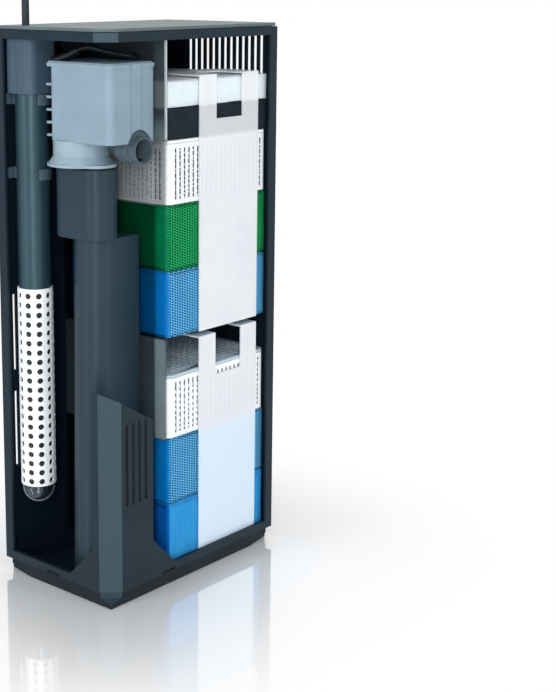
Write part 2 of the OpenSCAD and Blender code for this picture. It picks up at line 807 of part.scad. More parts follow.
module impeller() {
    color("#2e3338") translate([axis_x, axis_y, 0]) difference() {
        union() {
            translate([0, 0, z_magnet]) cylinder(r = magnet_r, h = magnet_l);
            translate([0, 0, z_blade]) cylinder(r = 4.5, h = z_magnet - z_blade + 1);
            for (i = [0 : blade_n - 1]) rotate([0, 0, i * 360 / blade_n])
                translate([3, -0.8, z_blade + 0.5]) cube([blade_r - 3, 1.6, blade_h - 0.5]);
        }
        translate([0, 0, z_blade - cut]) cylinder(r = shaft_r + running, h = magnet_l + chamber_h + 10);
    }
}

z_shaft = z_chamber + 0.4;
shaft_top = z_pump + well_h - 1;

module impeller_shaft() {
    color("#f1efe8") translate([axis_x, axis_y, z_shaft]) cylinder(r = shaft_r, h = shaft_top - z_shaft);
}

module lower_bush() {
    color("#23272a") translate([axis_x, axis_y, z_chamber]) ring(shaft_r + 1.2, shaft_r, chamber_wall);
}

module upper_bush() {
    color("#23272a") translate([axis_x, axis_y, z_pump + well_h - 6]) ring(well_r - 0.05, shaft_r, 5);
}

stator_h = 24;
stator_front = 9;
stator_limb = 4.4;
stator_yoke = 9;
stator_pole = 8;
stator_rise = 2;
well_play = 0.4;
core_z0 = nozzle_z + arch_r + pump_wall + stator_rise;
core_z1 = core_z0 + stator_h;
core_y0 = pump_y0 + stator_front;
core_in = well_r + well_wall + well_play;

module stator_core() {
    color("#77797b") difference() {
        block([axis_x - core_in - stator_limb, core_y0, core_z0],
            [axis_x + core_in + stator_limb, axis_y + stator_pole, core_z1]);
        block([axis_x - core_in, core_y0 + stator_yoke, core_z0 - cut],
            [axis_x + core_in, axis_y + stator_pole + cut, core_z1 + cut]);
    }
}

module stator_coil() {
    color("#a5582b") difference() {
        block([axis_x - core_in + 1.5, core_y0 - 4.4, core_z0 - 1.6],
            [axis_x + core_in - 1.5, core_y0 + stator_yoke + 5, core_z1 + 4]);
        block([axis_x - core_in, core_y0 - slip, core_z0 - slip],
            [axis_x + core_in, core_y0 + stator_yoke + slip, core_z1 + slip]);
    }
}

// heater

module heater_head() {
    half = head_w / 2;
    color("#5c6f7d") difference() {
        translate([0, 0, z_head]) linear_extrude(head_h) difference() {
            round_rect([heater_x - half, heater_y - half], [heater_x + half, heater_y + half], head_r);
            translate([heater_x - half - cut, heater_y - 0.5]) square([cut + 0.8, 1]);
        }
        translate([heater_x, heater_y, z_head - cut]) cylinder(r = glass_r + 0.6, h = socket_depth + cut);
        translate([spindle_x, spindle_y, z_head_top - spindle_depth])
            cylinder(r = spindle_r + running, h = head_h);
    }
}

// closed tube with a round end, of outer radius r and wall t, from its tip up
module test_tube(r, t, l) {
    rotate_extrude() difference() {
        union() {
            translate([0, r]) square([r, l - r]);
            intersection() {
                translate([0, r]) circle(r);
                square(2 * r);
            }
        }
        translate([0, r]) square([r - t, l]);
        intersection() {
            translate([0, r]) circle(r - t);
            square(2 * r);
        }
    }
}

module heater_glass() {
    color("#9fb2bb", 0.5) translate([heater_x, heater_y, z_tip])
        test_tube(glass_r, glass_t, glass_l + socket_depth - slip);
}

module heater_seal() {
    color("#15181a") translate([heater_x, heater_y, z_head + 2]) ring(glass_r + 0.55, glass_r + 0.05, 5);
}

module heater_sleeve() {
    color("#f2f5f7") translate([heater_x, heater_y, z_sleeve]) difference() {
        ring(sleeve_r + sleeve_t, sleeve_r, sleeve_l);
        for (row = [0 : sleeve_rows - 1], col = [0 : sleeve_cols - 1])
            translate([0, 0, sleeve_hole_r + sleeve_edge + row * sleeve_pitch])
                rotate([0, 0, sleeve_turn + col * 360 / sleeve_cols]) translate([sleeve_r - cut, 0, 0])
                    rotate([0, 90, 0]) cylinder(r = sleeve_hole_r, h = sleeve_t + 2 * cut);
    }
}

module heating_core() {
    step = core_l / core_ribs;
    valley = core_r - core_rib;
    color("#d9d2c4") translate([heater_x, heater_y, z_core]) rotate_extrude() polygon(concat(
        [[0, 0]],
        [for (i = [0 : core_ribs - 1]) each [[core_r, i * step], [core_r, (i + 0.5) * step],
            [valley, (i + 0.5) * step], [valley, (i + 1) * step]]],
        [[0, core_l]]));
}

module thermostat() {
    z_lead = z_core + core_l - z_board;
    color("#2b3136") translate([heater_x, heater_y, z_board]) {
        translate([-board_w / 2, -board_t / 2, 0]) cube([board_w, board_t, z_head + socket_depth - z_board]);
        cylinder(r = board_cap_r, h = board_cap_h);
        translate([-relay.x / 2, board_t / 2, relay_z]) cube(relay);
        for (s = [-1, 1]) translate([s * lead_gap / 2, 0, z_lead])
            cylinder(r = lead_r, h = lead_grip - z_lead);
    }
}

module temperature_spindle() {
    color("#39454c") translate([spindle_x, spindle_y, z_head_top - spindle_depth + 0.5]) {
        cylinder(r = spindle_r, h = spindle_depth - 0.5 + head_gap + spindle_rise - spindle_r);
        translate([0, 0, spindle_depth - 0.5 + head_gap + spindle_rise - spindle_r]) rotate_extrude()
            intersection() {
                circle(spindle_r);
                square(spindle_r);
            }
    }
}

// clip: a plate on the back wall and an open ring round the glass
module heater_clip(z) {
    color("#8fa0ab") {
        difference() {
            block([heater_x - clip_plate_w / 2, in_b - 2, z],
                [heater_x + clip_plate_w / 2, in_b, z + clip_h]);
            translate([heater_x, heater_y, z - cut]) cylinder(r = clip_r, h = clip_h + 2 * cut);
        }
        translate([heater_x, heater_y, z]) rotate([0, 0, -112]) rotate_extrude(angle = 232)
            translate([clip_r, 0]) square([clip_t, clip_h]);
    }
}

module upper_clip() {
    heater_clip(z_head - clip_drop[0]);
}

module lower_clip() {
    heater_clip(z_head - clip_drop[1]);
}

// baskets, with an open front that the handle's panel closes

module basket(z0, h) {
    color("#dfe8ec", 0.45) {
        difference() {
            block([bx0, by0, z0], [bx1, by1, z0 + h]);
            block([bx0 + basket_wall, by0 + basket_wall, z0 + basket_wall],
                [bx1 - basket_wall, by1 - basket_wall, z0 + h + cut]);
            block([panel_x0 - slip, by0 - cut, z0 + basket_wall + slip],
                [panel_x1 + slip, by0 + basket_wall + cut, z0 + h + cut]);
            for (i = [0 : floor_slots - 1]) {
                x = bx0 + 8 + i * (basket_w - 16 - 6) / (floor_slots - 1);
                block([x, by0 + 8, z0 - cut], [x + 6, by1 - 8, z0 + basket_wall + cut]);
            }
        }
    }
}

// front panel with two straps, a finger hole and a bridge that lies over the media
module handle(z0, h) {
    z1 = z0 + h - bridge_drop;
    y1 = by0 + bridge_d;
    color("#e8edf0", 0.6) {
        difference() {
            block([panel_x0, by0, z0 + basket_wall + 2 * slip], [panel_x1, by0 + handle_t, z1]);
            block([panel_x0 + strap_w, by0 - cut, z1 - finger_h],
                [panel_x1 - strap_w, by0 + handle_t + cut, z1 + cut]);
        }
        translate([0, 0, z1 - handle_t]) linear_extrude(handle_t) difference() {
            union() {
                translate([panel_x0, by0]) square([panel_w, bridge_d / 2]);
                round_rect([panel_x0, by0], [panel_x1, y1], bridge_r);
            }
            translate([panel_x0 + strap_w, by0 - cut]) square([panel_w - 2 * strap_w, cut + 14]);
            translate([(panel_x0 + panel_x1) / 2, by0 + 14]) intersection() {
                circle((panel_w - 2 * strap_w) / 2);
                translate([-finger_r - 5, 0]) square([2 * finger_r + 10, finger_r]);
            }
        }
    }
}

module lower_basket() {
    basket(z_lower, lower_h);
    color("#dfe8ec", 0.45) for (x = [bx0 + 6, bx1 - 6], y = [by0 + 6, by1 - 6])
        translate([x, y, base_floor + layer_gap])
            cylinder(r = foot_r, h = z_lower - base_floor - layer_gap + 0.5);
}

module lower_handle() {
    handle(z_lower, lower_h);
}

module upper_basket() {
    basket(z_upper, upper_h);
}

module upper_handle() {
    handle(z_upper, upper_h);
}

// media

module media_block(z, t, r) {
    translate([0, 0, z]) linear_extrude(t) round_rect([mx0, my0], [mx1, my1], r);
}

module coarse_sponge() {
    color("#1a6fc0") media_block(z_coarse, coarse_t, media_r);
}

module fine_sponge() {
    color("#2384cf") media_block(z_fine, fine_t, media_r);
}

module blue_sponge() {
    color("#1f7fcb") media_block(z_blue, blue_t, media_r);
}

module green_sponge() {
    color("#1f9a4c") media_block(z_green, green_t, media_r);
}

module carbon_pad() {
    color("#353f48") media_block(z_carbon, carbon_t, media_r);
}

module floss_pad() {
    color("#dcebf3") media_block(z_floss, floss_t, media_r);
}

cartridge_lid_t = 2.4;
slot_n = 21;

// open case with upright slots in its four sides
module cartridge_case(z, h) {
    body_h = h - cartridge_lid_t - stack_gap;
    step_x = (mx1 - mx0 - 2 * cartridge_r) / slot_n;
    step_y = (my1 - my0 - 2 * cartridge_r) / slot_n;
    difference() {
        media_block(z, body_h, cartridge_r);
        translate([0, 0, z + cartridge_t]) linear_extrude(h)
            round_rect([mx0 + cartridge_t, my0 + cartridge_t],
                [mx1 - cartridge_t, my1 - cartridge_t], cartridge_r - cartridge_t);
        for (i = [0 : slot_n - 1]) {
            x = mx0 + cartridge_r + (i + 0.5) * step_x - cartridge_slot / 2;
            y = my0 + cartridge_r + (i + 0.5) * step_y - cartridge_slot / 2;
            block([x, my0 - cut, z + slot_edge], [x + cartridge_slot, my1 + cut, z + body_h - slot_edge]);
            block([mx0 - cut, y, z + slot_edge], [mx1 + cut, y + cartridge_slot, z + body_h - slot_edge]);
        }
    }
}

// lid with a grid of square holes, so many each way, with bars between them
module cartridge_cover(z, h, holes, bar) {
    step_x = (mx1 - mx0 - 10) / holes;
    step_y = (my1 - my0 - 10) / holes;
    difference() {
        media_block(z + h - cartridge_lid_t, cartridge_lid_t, cartridge_r);
        for (i = [0 : holes - 1], j = [0 : holes - 1])
            translate([mx0 + 5 + i * step_x + bar / 2, my0 + 5 + j * step_y + bar / 2,
                z + h - cartridge_lid_t - cut])
                cube([step_x - bar, step_y - bar, cartridge_lid_t + 2 * cut]);
    }
}

module granules(z, h) {
    inset = cartridge_t + 0.4;
    translate([0, 0, z + inset]) linear_extrude(h - cartridge_lid_t - inset - 1)
        round_rect([mx0 + inset, my0 + inset], [mx1 - inset, my1 - inset], cartridge_r - inset);
}

module lower_cartridge() {
    color("#c9d2d6") cartridge_case(z_low_cartridge, low_cartridge_h);
}

module lower_cartridge_lid() {
    color("#aab5ba") cartridge_cover(z_low_cartridge, low_cartridge_h, 16, 2.4);
}

module lower_media() {
    color("#8b979d") granules(z_low_cartridge, low_cartridge_h);
}

module upper_cartridge() {
    color("#e9e8e4") cartridge_case(z_top_cartridge, top_cartridge_h);
}

module upper_cartridge_lid() {
    color("#e9e8e4") cartridge_cover(z_top_cartridge, top_cartridge_h, 8, 3);
}

module upper_media() {
    color("#c7c2b6") granules(z_top_cartridge, top_cartridge_h);
}

// cable

function unit(v) = v / norm(v);

// one more point between each pair of route points, on a smooth curve through them
function smooth(p) =
    let (n = len(p) - 1)
    [for (i = [0 : n]) each (i == n ? [p[i]] : [p[i],
        (9 * (p[i] + p[i + 1]) - p[max(i - 1, 0)] - p[min(i + 2, n)]) / 16])];

// directions along a path, and side directions carried along it without twist
function headings(p) =
    let (n = len(p) - 1)
    [for (i = [0 : n]) unit(p[min(i + 1, n)] - p[max(i - 1, 0)])];
function flat_side(v, t) = unit(v - (v * t) * t);
function sides(t, first) =
    [for (i = 0, s = flat_side(first, t[0]); i < len(t); i = i + 1,
        s = i < len(t) ? flat_side(s, t[i]) : s) s];

// tube of radius r with n sides along path p
module tube(p, r, n, first) {
    t = headings(p);
    s = sides(t, first);
    rings = len(p);
    points = [for (i = [0 : rings - 1], k = [0 : n - 1])
        p[i] + r * (cos(k * 360 / n) * s[i] + sin(k * 360 / n) * cross(t[i], s[i]))];
    skin = [for (i = [0 : rings - 2], k = [0 : n - 1])
        let (a = i * n + k, b = i * n + (k + 1) % n) each [[a, a + n, b], [b, a + n, b + n]]];
    ends = [for (k = [1 : n - 2]) each
        [[0, k, k + 1], [(rings - 1) * n, (rings - 1) * n + k + 1, (rings - 1) * n + k]]];
    polyhedron(points = points, faces = concat(skin, ends), convexity = 10);
}

module pump_cable() {
    color("#101214") tube(smooth(ROUTE), cable_r, cable_sides, [0, 1, 0]);
}

// coil: spirals in on the floor, climbs a layer in the half turn where it reverses, spirals out
function climb(t) =
    let (u = min(max((t - coil_mid + 0.25) / 0.5, 0), 1))
    u * u * (3 - 2 * u);
function coil_point(t) =
    let (r = coil_r + coil_pitch * abs(t - coil_mid), a = -90 + 360 * t)
    [coil_x + r * cos(a), coil_y + r * sin(a), coil_z + coil_pitch * climb(t) * (coil_layers - 1)];

coil_path = concat(
    [for (i = [0 : coil_rings * coil_turns]) coil_point(i / coil_rings)],
    [for (i = [1 : 3]) coil_point(coil_turns) + [i * coil_tail / 3, 0, 0]]);
// least gap between stretches of the coil that lie more than a third of a turn apart
coil_self_gap = min([for (i = [0 : len(coil_path) - 1], j = [0 : len(coil_path) - 1])
    if (j - i > coil_rings / 3) norm(coil_path[j] - coil_path[i])]) - cable_d;
echo(coil_self_gap = coil_self_gap);

module cable_coil() {
    color("#101214") tube(coil_path, cable_r, coil_sides, [0, 0, 1]);
}

// strap round the bundle of turns, on the far side of the coil
module cable_tie() {
    low = coil_r - cable_r - 0.6;
    high = coil_out - coil_pitch / 2 + cable_r + 0.6;
    top = coil_z + coil_pitch + cable_r + 0.5;
    color("#1c1f22") translate([coil_x, coil_y, 0]) along_x(-2.5, 2.5) difference() {
        translate([low - tie_t, 0]) square([high - low + 2 * tie_t, top + tie_t]);
        translate([low, tie_t]) square([high - low, top - tie_t]);
    }
}

plug_x = coil_x + coil_tail;
plug_y = coil_y - coil_out;
plug_z = coil_z + coil_pitch;

module mains_plug() {
    color("#16191b") difference() {
        union() {
            translate([plug_x, plug_y, plug_z]) rotate([0, 90, 0]) cylinder(r1 = 3, r2 = 5, h = relief_l);
            intersection() {
                translate([plug_x, plug_y, plug_z - plug_h / 2]) linear_extrude(plug_h) polygon([
                    [plug_neck, -7], [plug_shoulder, -plug_w / 2], [plug_l, -plug_w / 2],
                    [plug_l, plug_w / 2], [plug_shoulder, plug_w / 2], [plug_neck, 7]]);
                along_x(plug_x, plug_x + plug_l + cut) round_rect([plug_y - plug_w / 2, plug_z - plug_h / 2],
                    [plug_y + plug_w / 2, plug_z + plug_h / 2], 4);
            }
        }
        for (s = [-1, 1]) translate([plug_x + plug_l - pin_grip, plug_y + s * pin_gap / 2, plug_z])
            rotate([0, 90, 0]) cylinder(r = pin_r, h = pin_grip + cut);
    }
}

module plug_pins() {
    color("#c9a35b") for (s = [-1, 1])
        translate([plug_x + plug_l - pin_grip, plug_y + s * pin_gap / 2, plug_z]) rotate([0, 90, 0])
            cylinder(r = pin_r, h = pin_grip + pin_l);
}

// collar on the cap and a tapered boot that leads the cable off it
module cable_gland() {
    color("#15181a") difference() {
        translate([gland_x, gland_y, z_cap_top]) {
            cylinder(r = gland_r + 1, h = 2);
            rotate([0, 90 - gland_rise, gland_turn]) translate([0, 0, -gland_r])
                cylinder(r1 = gland_r, r2 = cable_r + 0.6, h = gland_l + gland_r - gland_gap);
        }
        translate([gland_x - gland_l, gland_y - gland_l, z_cap_top - gland_l])
            cube([2 * gland_l, 2 * gland_l, gland_l]);
    }
}

module cable_grommet() {
    color("#15181a") translate([exit_x, y_b, exit_z]) rotate([90, 0, 0]) rotate_extrude() polygon([
        [cable_hole_r, 0], [grommet_r - 0.05, 0], [grommet_r - 0.05, wall],
        [grommet_r + grommet_flange, wall], [grommet_r + grommet_flange, wall + grommet_lip],
        [cable_hole_r, wall + grommet_lip]]);
}

base_tray();
casing();
lid();
partition();
riser_duct();
pump_socket();
socket_seal();
pump_flange();
rotor_chamber();
pump_housing();
pump_cap();
outlet_nozzle();
impeller();
impeller_shaft();
lower_bush();
upper_bush();
stator_core();
stator_coil();
heater_head();
heater_glass();
heater_sleeve();
heating_core();
thermostat();
heater_seal();
temperature_spindle();
upper_clip();
lower_clip();
lower_basket();
lower_handle();
coarse_sponge();
fine_sponge();
lower_cartridge();
lower_cartridge_lid();
lower_media();
upper_basket();
upper_handle();
blue_sponge();
green_sponge();
upper_cartridge();
upper_cartridge_lid();
upper_media();
carbon_pad();
floss_pad();
cable_gland();
cable_grommet();
pump_cable();
cable_coil();
cable_tie();
mains_plug();
plug_pins();
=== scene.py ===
# %% [markdown]
# # An internal aquarium filter, cut away
# The real object is a tall moulded casing that stands in a tank. Its corner is cut away, so the heater, the
# pump on its riser and the two baskets of filter media show. The solids come from the part's CAD model, and
# this lesson gives them their finish: softened moulded edges, foam, floss, glass, clear and milky plastic.

# %% Load the frame
import json
import math
import random

import bpy
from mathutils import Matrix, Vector

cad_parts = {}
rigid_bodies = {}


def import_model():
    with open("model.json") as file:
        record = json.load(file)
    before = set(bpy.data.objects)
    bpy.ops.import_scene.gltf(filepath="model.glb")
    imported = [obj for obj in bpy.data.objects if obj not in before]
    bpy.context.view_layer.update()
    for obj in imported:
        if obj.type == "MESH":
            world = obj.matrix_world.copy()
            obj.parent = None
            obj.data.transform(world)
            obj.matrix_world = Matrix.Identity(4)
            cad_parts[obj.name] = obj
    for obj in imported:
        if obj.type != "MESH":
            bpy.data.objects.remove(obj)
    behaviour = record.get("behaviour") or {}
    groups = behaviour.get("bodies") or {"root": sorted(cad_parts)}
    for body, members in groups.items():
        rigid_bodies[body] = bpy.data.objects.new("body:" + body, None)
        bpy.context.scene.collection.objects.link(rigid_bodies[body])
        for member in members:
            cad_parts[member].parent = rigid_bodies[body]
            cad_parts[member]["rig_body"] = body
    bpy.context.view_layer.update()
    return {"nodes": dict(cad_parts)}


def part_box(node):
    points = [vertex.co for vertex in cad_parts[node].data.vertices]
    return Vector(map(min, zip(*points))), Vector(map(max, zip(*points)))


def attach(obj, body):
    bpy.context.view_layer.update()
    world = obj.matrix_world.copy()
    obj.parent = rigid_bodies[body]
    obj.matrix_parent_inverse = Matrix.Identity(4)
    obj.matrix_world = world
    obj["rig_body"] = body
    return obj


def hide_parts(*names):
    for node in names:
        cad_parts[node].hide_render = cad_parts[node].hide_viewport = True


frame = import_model()
nodes = frame["nodes"]
scene = bpy.context.scene
scene.view_settings.view_transform = "Standard"
print("CAD nodes:", len(nodes))

# %% [markdown]
# ## Camera
# The photograph was taken with a long lens from the front left corner, a little above the middle of the tower.
# The verticals stay almost upright, so the camera looks only slightly down and the frame is shifted instead.
# The focal length and the point that the lens looks at are measured in pixels of the photograph.

# %% Camera
PHOTO_WIDE = 556
PHOTO_HIGH = 692
FOCUS = 1428.8
MIDDLE = (180, 245)
SENSOR = 36
CAMERA_AT = (-0.7782, -0.7412, 0.4527)
yaw = math.radians(42.011)
pitch = math.radians(10.716)
sight = Vector((math.cos(yaw) * math.cos(pitch), math.sin(yaw) * math.cos(pitch), -math.sin(pitch)))
bpy.ops.object.camera_add(location=CAMERA_AT, rotation=sight.to_track_quat("-Z", "Y").to_euler())
camera = bpy.context.active_object
camera.data.sensor_width = SENSOR
camera.data.lens = FOCUS * SENSOR / PHOTO_HIGH
camera.data.shift_x = (PHOTO_WIDE / 2 - MIDDLE[0]) / PHOTO_HIGH
camera.data.shift_y = (MIDDLE[1] - PHOTO_HIGH / 2) / PHOTO_HIGH
camera.data.clip_start = 0.01
scene.camera = camera
print("lens", round(camera.data.lens, 2), "mm")

# %% [markdown]
# ## Node helpers
# Every finish here is built from a few nodes on the object's own coordinates, so a pattern stays on its piece.
# The nodes could be placed by hand in the shader editor. In a script, a few short helpers keep them readable:
# they add a node, wire its inputs, do arithmetic on sockets and mix colours.


# %% Node helpers
def wire(tree, node, inputs):
    """Links sockets to a node's inputs, and sets plain numbers and colours on them."""
    for key, value in inputs.items():
        if isinstance(value, bpy.types.NodeSocket):
            tree.links.new(value, node.inputs[key])
        else:
            node.inputs[key].default_value = value


def add(tree, kind, inputs=None, **settings):
    """A new node, with its settings made and its inputs wired."""
    node = tree.nodes.new(kind)
    for key, value in settings.items():
        setattr(node, key, value)
    wire(tree, node, inputs or {})
    return node


def calc(tree, operation, *values):
    """The result of one Math node on sockets or numbers."""
    return add(tree, "ShaderNodeMath", dict(enumerate(values)), operation=operation).outputs[0]


def span(tree, value, low, high, to_low=0.0, to_high=1.0):
    """A value run smoothly from one range to another."""
    inputs = {"Value": value, "From Min": low, "From Max": high, "To Min": to_low, "To Max": to_high}
    return add(tree, "ShaderNodeMapRange", inputs, interpolation_type="SMOOTHSTEP").outputs["Result"]


def past(tree, height, level, run, to_low=0.0, to_high=1.0):
    """A value that changes smoothly where a height passes a level, within a run on either side."""
    return span(tree, height, level - run, level + run, to_low, to_high)


def noise(tree, place, scale, detail):
    """Cloudy noise of that scale."""
    return add(tree, "ShaderNodeTexNoise", {"Vector": place, "Scale": scale, "Detail": detail}).outputs["Fac"]


def split(tree, place):
    """The X, Y and Z of a place."""
    return add(tree, "ShaderNodeSeparateXYZ", {"Vector": place}).outputs


# %% Colour helpers
def blend(tree, factor, first, second):
    """Two colours mixed by a factor."""
    node = add(tree, "ShaderNodeMix", data_type="RGBA")
    for name, value in (("Factor_Float", factor), ("A_Color", first), ("B_Color", second)):
        socket = next(s for s in node.inputs if s.identifier == name)
        if isinstance(value, bpy.types.NodeSocket):
            tree.links.new(value, socket)
        else:
            socket.default_value = value
    return next(s for s in node.outputs if s.identifier == "Result_Color")


def tint(code, level=1.0):
    """A colour written as in a paint programme, made linear and scaled."""
    parts = [int(code[i : i + 2], 16) / 255 for i in (1, 3, 5)]
    linear = [p / 12.92 if p < 0.04045 else ((p + 0.055) / 1.055) ** 2.4 for p in parts]
    return (*[min(p * level, 1.0) for p in linear], 1.0)


def start(name):
    """A new material, its tree, its shader and its object coordinates."""
    material = bpy.data.materials.new(name)
    material.use_nodes = True
    tree = material.node_tree
    place = add(tree, "ShaderNodeTexCoord").outputs["Object"]
    return material, tree, tree.nodes["Principled BSDF"], place


def relief(tree, shader, height, depth, strength):
    """Gives the shader a bump of that depth in metres."""
    bump = add(tree, "ShaderNodeBump", {"Height": height, "Distance": depth, "Strength": strength})
    tree.links.new(bump.outputs["Normal"], shader.inputs["Normal"])


print("#808080 in linear light:", [round(part, 3) for part in tint("#808080")])

# %% [markdown]
# ## Moulded plastic
# Injection-moulded plastic has a fine spark-eroded grain, a slight mottle in its colour and a sheen that
# changes with the grain. Picture textures could show that, but they need unwrapped faces. Noise does not, and it
# stays sharp from close by. One function makes all these finishes from a colour and a gloss.


# %% Moulded plastic
def moulded(name, code, gloss, mottle=0.07, grain=900.0, depth=0.00004):
    """Plastic of one colour with a cloudy mottle and a fine grain."""
    material, tree, shader, place = start(name)
    cloud, fine = noise(tree, place, 24.0, 4.0), noise(tree, place, grain, 2.0)
    both = calc(tree, "ADD", calc(tree, "MULTIPLY", cloud, 0.7), calc(tree, "MULTIPLY", fine, 0.3))
    wire(tree, shader, {
        "Base Color": blend(tree, span(tree, both, 0.35, 0.65), tint(code, 1 - mottle), tint(code, 1 + mottle)),
        "Roughness": span(tree, both, 0.3, 0.7, gloss - 0.05, gloss + 0.07),
        "Specular IOR Level": 0.2,
    })
    relief(tree, shader, fine, depth, 0.6)
    return material


slate = moulded("slate_plastic", "#263742", 0.34)
pump_grey = moulded("pump_grey_plastic", "#8499a6", 0.34)
pale_grey = moulded("pale_grey_plastic", "#90a5b1", 0.32)
nozzle_grey = moulded("nozzle_grey_plastic", "#4a5a62", 0.4)
head_grey = moulded("heater_head_plastic", "#405362", 0.34)
clip_grey = moulded("clip_plastic", "#4c5d69", 0.4)
lid_grey = moulded("lid_plastic", "#5b6a6c", 0.5)
spindle_dark = moulded("spindle_plastic", "#272f36", 0.45)
rotor_dark = moulded("rotor_plastic", "#24292e", 0.5)
ceramic = moulded("pale_ceramic", "#e6e1d6", 0.55, grain=1500.0)
white_plastic = moulded("white_plastic", "#eef1f3", 0.38, mottle=0.03)
grey_lid = moulded("grey_lid_plastic", "#b9c9d2", 0.36)
sleeve_white = moulded("sleeve_plastic", "#fbfdfe", 0.4, mottle=0.02)
rubber = moulded("black_rubber", "#0a1016", 0.34, grain=1300.0, depth=0.00002)
print("materials so far:", len(bpy.data.materials))

# %% [markdown]
# ## Softened mouldings
# A moulded edge is never sharp: it has a small round that catches the light. The CAD meshes are loose
# triangles with sharp edges, so each visible moulding is copied, merged, cleared of flat triangles and given a
# narrow bevel. The bevel acts only where faces meet at a real corner, so round walls stay round. Weighted normals
# then keep the large faces flat, so that the shading turns only within the bevel.

# %% Softened mouldings
MERGED = 0.000005
ALMOST_FLAT = math.radians(0.6)
REAL_CORNER = math.radians(38)


def only(piece):
    """Selects one object and makes it active."""
    bpy.ops.object.select_all(action="DESELECT")
    piece.select_set(True)
    bpy.context.view_layer.objects.active = piece


def cover(piece, material):
    """Takes the old materials off a piece and gives it this one."""
    piece.data.materials.clear()
    piece.data.materials.append(material)


def soften(node, width, material):
    """A copy of a CAD node with edges rounded by so many millimetres, which then stands for it."""
    source = nodes[node]
    body = source["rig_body"]
    piece = bpy.data.objects.new(node + "_moulding", source.data.copy())
    scene.collection.objects.link(piece)
    only(piece)
    bpy.ops.object.mode_set(mode="EDIT")
    bpy.ops.mesh.select_all(action="SELECT")
    bpy.ops.mesh.remove_doubles(threshold=MERGED)
    bpy.ops.mesh.dissolve_limited(angle_limit=ALMOST_FLAT)
    bpy.ops.object.mode_set(mode="OBJECT")
    edge = piece.modifiers.new("edge", "BEVEL")
    edge.width = width / 1000
    edge.segments = 2
    edge.limit_method = "ANGLE"
    edge.angle_limit = REAL_CORNER
    edge.use_clamp_overlap = True
    bpy.ops.object.modifier_apply(modifier="edge")
    bpy.ops.object.shade_smooth_by_angle(angle=REAL_CORNER)
    flat = piece.modifiers.new("flat", "WEIGHTED_NORMAL")
    flat.keep_sharp = True
    bpy.ops.object.modifier_apply(modifier="flat")
    cover(piece, material)
    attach(piece, body)
    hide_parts(node)
    print(piece.name, len(piece.data.polygons), "faces")
    return piece


# %% [markdown]
# ## Cable
# The pump's cable leaves a tapered boot on the cap, turns on the cap and goes out at the back through a grommet.
# Behind the casing it drops to the floor, and the spare length is put away as a tied coil with its plug. A
# curve with a round bevel is the natural way, because its line is the cable's own middle line. The points are
# those of the CAD route: arcs that are never tighter than four diameters, joined by straight runs. They are
# worked out in millimetres, as the CAD source has them, and become metres at the end.

# %% Cable route on the pump
CABLE = 4.0
CAP_TOP = 392.5
BEND = 4.25 * CABLE
BOOT_AT = Vector((-74, 10))
BOOT_LONG = 20
RISE = math.radians(24)
HUMP = 22.6
SIDEWAYS = 30
EXIT = Vector((-34, 394.6))
turn_at = Vector((EXIT.x - BEND, BOOT_AT.y - SIDEWAYS))
way = turn_at - BOOT_AT
heading = math.atan2(way.y, way.x) - math.asin(BEND / way.length)
run = math.sqrt(way.length**2 - BEND**2)
tip_run, tip_z = BOOT_LONG * math.cos(RISE), CAP_TOP + BOOT_LONG * math.sin(RISE)
fall = math.asin((run - tip_run) / HUMP - math.sin(RISE))
hump_z = tip_z + HUMP * (math.cos(fall) - math.cos(RISE))
route = []
for i in range(6):
    a = RISE - i * (RISE + fall) / 5
    s = tip_run + HUMP * (math.sin(RISE) - math.sin(a))
    z = tip_z + HUMP * (math.cos(a) - math.cos(RISE))
    route.append((BOOT_AT.x + s * math.cos(heading), BOOT_AT.y + s * math.sin(heading), z))
for i in range(1, 11):
    t = i / 10
    a = heading + 1.5 * math.pi + t * (0.5 * math.pi - heading)
    z = EXIT.y + (hump_z - EXIT.y) * (1 - t) ** 2
    route.append((turn_at.x + BEND * math.cos(a), turn_at.y + BEND * math.sin(a), z))
print("boot heads", round(math.degrees(heading), 1), "degrees, the hump falls at", round(math.degrees(fall), 1))

# %% Cable route behind the casing
DROP = 21
BACK = 60
LOW = 2.9
COIL_X = 20
for i in range(1, 5):
    route.append((EXIT.x, turn_at.y + i * (BACK - turn_at.y) / 4, EXIT.y))
for i in range(1, 6):
    a = math.radians(90 - 18 * i)
    route.append((EXIT.x, BACK + DROP * math.cos(a), EXIT.y - DROP + DROP * math.sin(a)))
for i in range(1, 9):
    route.append((EXIT.x, BACK + DROP, EXIT.y - DROP - i * (EXIT.y - LOW - 2 * DROP) / 8))
for i in range(1, 6):
    a = math.radians(180 + 18 * i)
    route.append((EXIT.x + DROP + DROP * math.cos(a), BACK + DROP, LOW + DROP + DROP * math.sin(a)))
for i in (1, 2):
    route.append((EXIT.x + DROP + i * (COIL_X - EXIT.x - DROP) / 2, BACK + DROP, LOW))
print("route of", len(route), "points")

# %% Cable coil
TURNS = 7
TURN_POINTS = 48
COIL_PITCH = 4.5
COIL_INNER = 16.2
PLUG_LEAD = (10, 20, 30)
coil_out = COIL_INNER + COIL_PITCH * TURNS / 2


def between(points):
    """The same line with one more point in the middle of each stretch, on a smooth curve."""
    last = len(points) - 1
    finer = []
    for i, p in enumerate(points[:-1]):
        before, after = points[max(i - 1, 0)], points[min(i + 2, last)]
        finer += [p, (9 * (p + points[i + 1]) - before - after) / 16]
    return finer + [points[-1]]


def coil_point(turn):
    """A point of the coil: in on the floor, up in the half turn where it reverses, and out again."""
    radius = COIL_INNER + COIL_PITCH * abs(turn - TURNS / 2)
    angle = math.radians(-90 + 360 * turn)
    climb = min(max((turn - TURNS / 2 + 0.25) / 0.5, 0), 1)
    height = LOW + COIL_PITCH * climb * climb * (3 - 2 * climb)
    centre = BACK + DROP + coil_out
    return Vector((COIL_X + radius * math.cos(angle), centre + radius * math.sin(angle), height))


